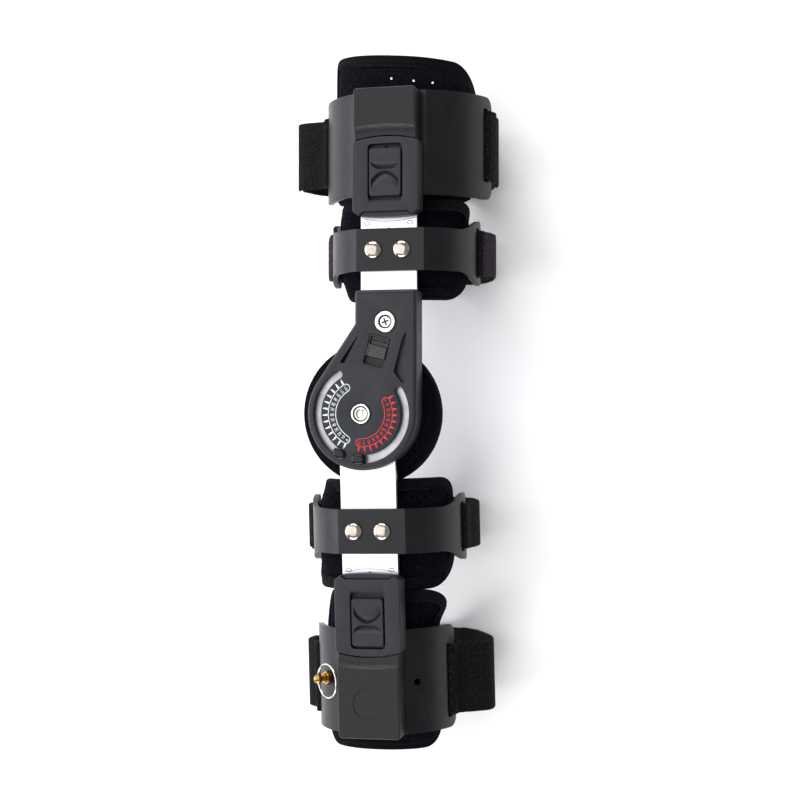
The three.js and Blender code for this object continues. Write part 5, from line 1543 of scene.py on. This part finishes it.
def hookPatch(name, loop, sign):
    # a flat patch of tape on the outer side of the lap at one end of the strap, and its stitches
    size, cuff = hookShape, cuffOf(loop)
    course = strapCourse(loop)[::sign]
    reach = lengthAlong(course)
    folds = 3 if loop["doubled"] == sign else 1
    lap = (cuff["end"] - cuff["slotAngle"]) * cuff["radius"] + strapShape["lap"] * folds
    start = reach[-1] - lap + size["from"]
    at = start + np.linspace(0, size["long"], 24)
    spot = pointsAt(at, reach, course)
    ahead = pointsAt(at + 0.5, reach, course) - pointsAt(at - 0.5, reach, course)
    ahead /= np.linalg.norm(ahead, axis=1)[:, None]
    normal = np.column_stack([-ahead[:, 1], ahead[:, 0]])
    normal *= np.sign(((spot - [cuff["across"], cuff["centreZ"]]) * normal).sum(1))[:, None]
    half, low = loop["strap"] / 2 - size["in"], strapShape["thick"] / 2
    side = np.linspace(-half, half, 20)
    v = np.concatenate([side, side[::-1]])
    lift = np.concatenate([low + size["thick"] - 0.35 * np.abs(side / half) ** 8, np.full(20, low - 0.1)])
    x, z = (spot[:, k:k + 1] + normal[:, k:k + 1] * lift for k in (0, 1))
    points = np.stack([x, loop["strapAlong"] + np.repeat(v[None], len(at), 0), z], axis=-1)
    uv = np.stack(np.meshgrid(at, v, indexing="ij"), axis=-1)
    turn = armTurn[loop["arm"]]
    patch = makePiece(name, points.reshape(-1, 3), cappedFaces(len(at), len(v)), hookTape, turn,
                      uv=uv.reshape(-1, 2), sharp=60)
    across = np.arange(-half + 0.5, half, size["zigzag"] / 2)
    place = start + np.where(np.arange(len(across)) % 2, *size["zigzagFrom"])
    spots, ups = pointsAt(place, at, spot), pointsAt(place, at, normal)
    up = np.column_stack([ups[:, 0], 0 * across, ups[:, 1]])
    line = np.column_stack([spots[:, 0], across + loop["strapAlong"], spots[:, 1]])
    line = line + up * (low + size["thick"] + 0.05)
    return patch, stitchLine(name + "Zigzag", line, up, size["threadWide"], turn)


def stitchLine(name, line, up, width, turn):
    # a thread laid along a bent line, half sunk
    side = np.cross(unitAlong(line), up)
    angle = np.linspace(0, 2 * math.pi, 6, endpoint=False)[:, None]
    ring = line[:, None] + width * (side[:, None] * np.cos(angle) + up[:, None] * np.sin(angle))
    points = ring.reshape(-1, 3)
    return makePiece(name, points, cappedFaces(len(line), 6), thread, turn, uv=points[:, :2], sharp=60)


for side, sign in (("Left", -1), ("Right", 1)):
    patch, zigzag = hookPatch("upperNarrowHook" + side, loops["upperNarrow"], sign)
    finishAs(patch, "upper_arm")
    finishAs(zigzag, "upper_arm")
print("hook tape made")


# ---- studio: pale floor, soft light and the photograph's camera

studio = {"target": (0.01511, 0.00094, 0.092), "distance": 0.8, "tilt": 15.0, "lens": 67.5, "sensor": 36.0}

floorMesh = bpy.data.meshes.new("floor")
floorMesh.from_pydata([(-4, -4, 0), (4, -4, 0), (4, 4, 0), (-4, 4, 0)], [], [(0, 1, 2, 3)])
floor = addObject("floor", floorMesh)
paper, paperTree, paperShader = startMaterial("white paper sweep", {
    "Base Color": toLinear("#fdfdfd"), "Roughness": 0.9, "Specular IOR Level": 0.1})
floorMesh.materials.append(paper)


def softbox(name, place, aim, size, power):
    light = bpy.data.lights.new(name, "AREA")
    light.shape, light.size, light.size_y, light.energy = "RECTANGLE", size[0], size[1], power
    holder = addObject(name, light)
    holder.location = place
    away = np.array(place, float) - np.array(aim, float)
    holder.rotation_mode = "QUATERNION"
    holder.rotation_quaternion = Vector(away.tolist()).to_track_quat("Z", "Y")
    return holder


softbox("overhead softbox", (-0.75, 0.1, 1.9), (-0.1, 0, 0.05), (2.3, 2.6), 27)
softbox("window side", (-0.3, 1.9, 0.9), (0.1, 0, 0.0), (1.8, 0.8), 28)
softbox("near side", (-0.3, -1.9, 0.9), (0.1, 0, 0.0), (1.8, 0.8), 28)
leftStrip = softbox("left strip", (-1.3, 0.1, 0.55), (0, 0, 0.07), (1.6, 0.5), 13)
leftStrip.data.color = (0.93, 0.88, 1.0)

world = bpy.data.worlds.new("studio room")
bpy.context.scene.world = world
world.use_nodes = True
world.node_tree.nodes["Background"].inputs[0].default_value = toLinear("#f2f3f5")
world.node_tree.nodes["Background"].inputs[1].default_value = 0.36

tilt = math.radians(studio["tilt"])
cameraData = bpy.data.cameras.new("camera")
cameraData.lens, cameraData.sensor_width = studio["lens"], studio["sensor"]
cameraData.clip_start, cameraData.clip_end = 0.05, 20
camera = addObject("camera", cameraData)
camera.location = (studio["target"][0] + studio["distance"] * math.sin(tilt), studio["target"][1],
                   studio["target"][2] + studio["distance"] * math.cos(tilt))
camera.rotation_euler = (0, tilt, 0)
bpy.context.scene.camera = camera
bpy.context.scene.view_settings.view_transform = "Standard"
bpy.context.scene.view_settings.exposure = 0.2
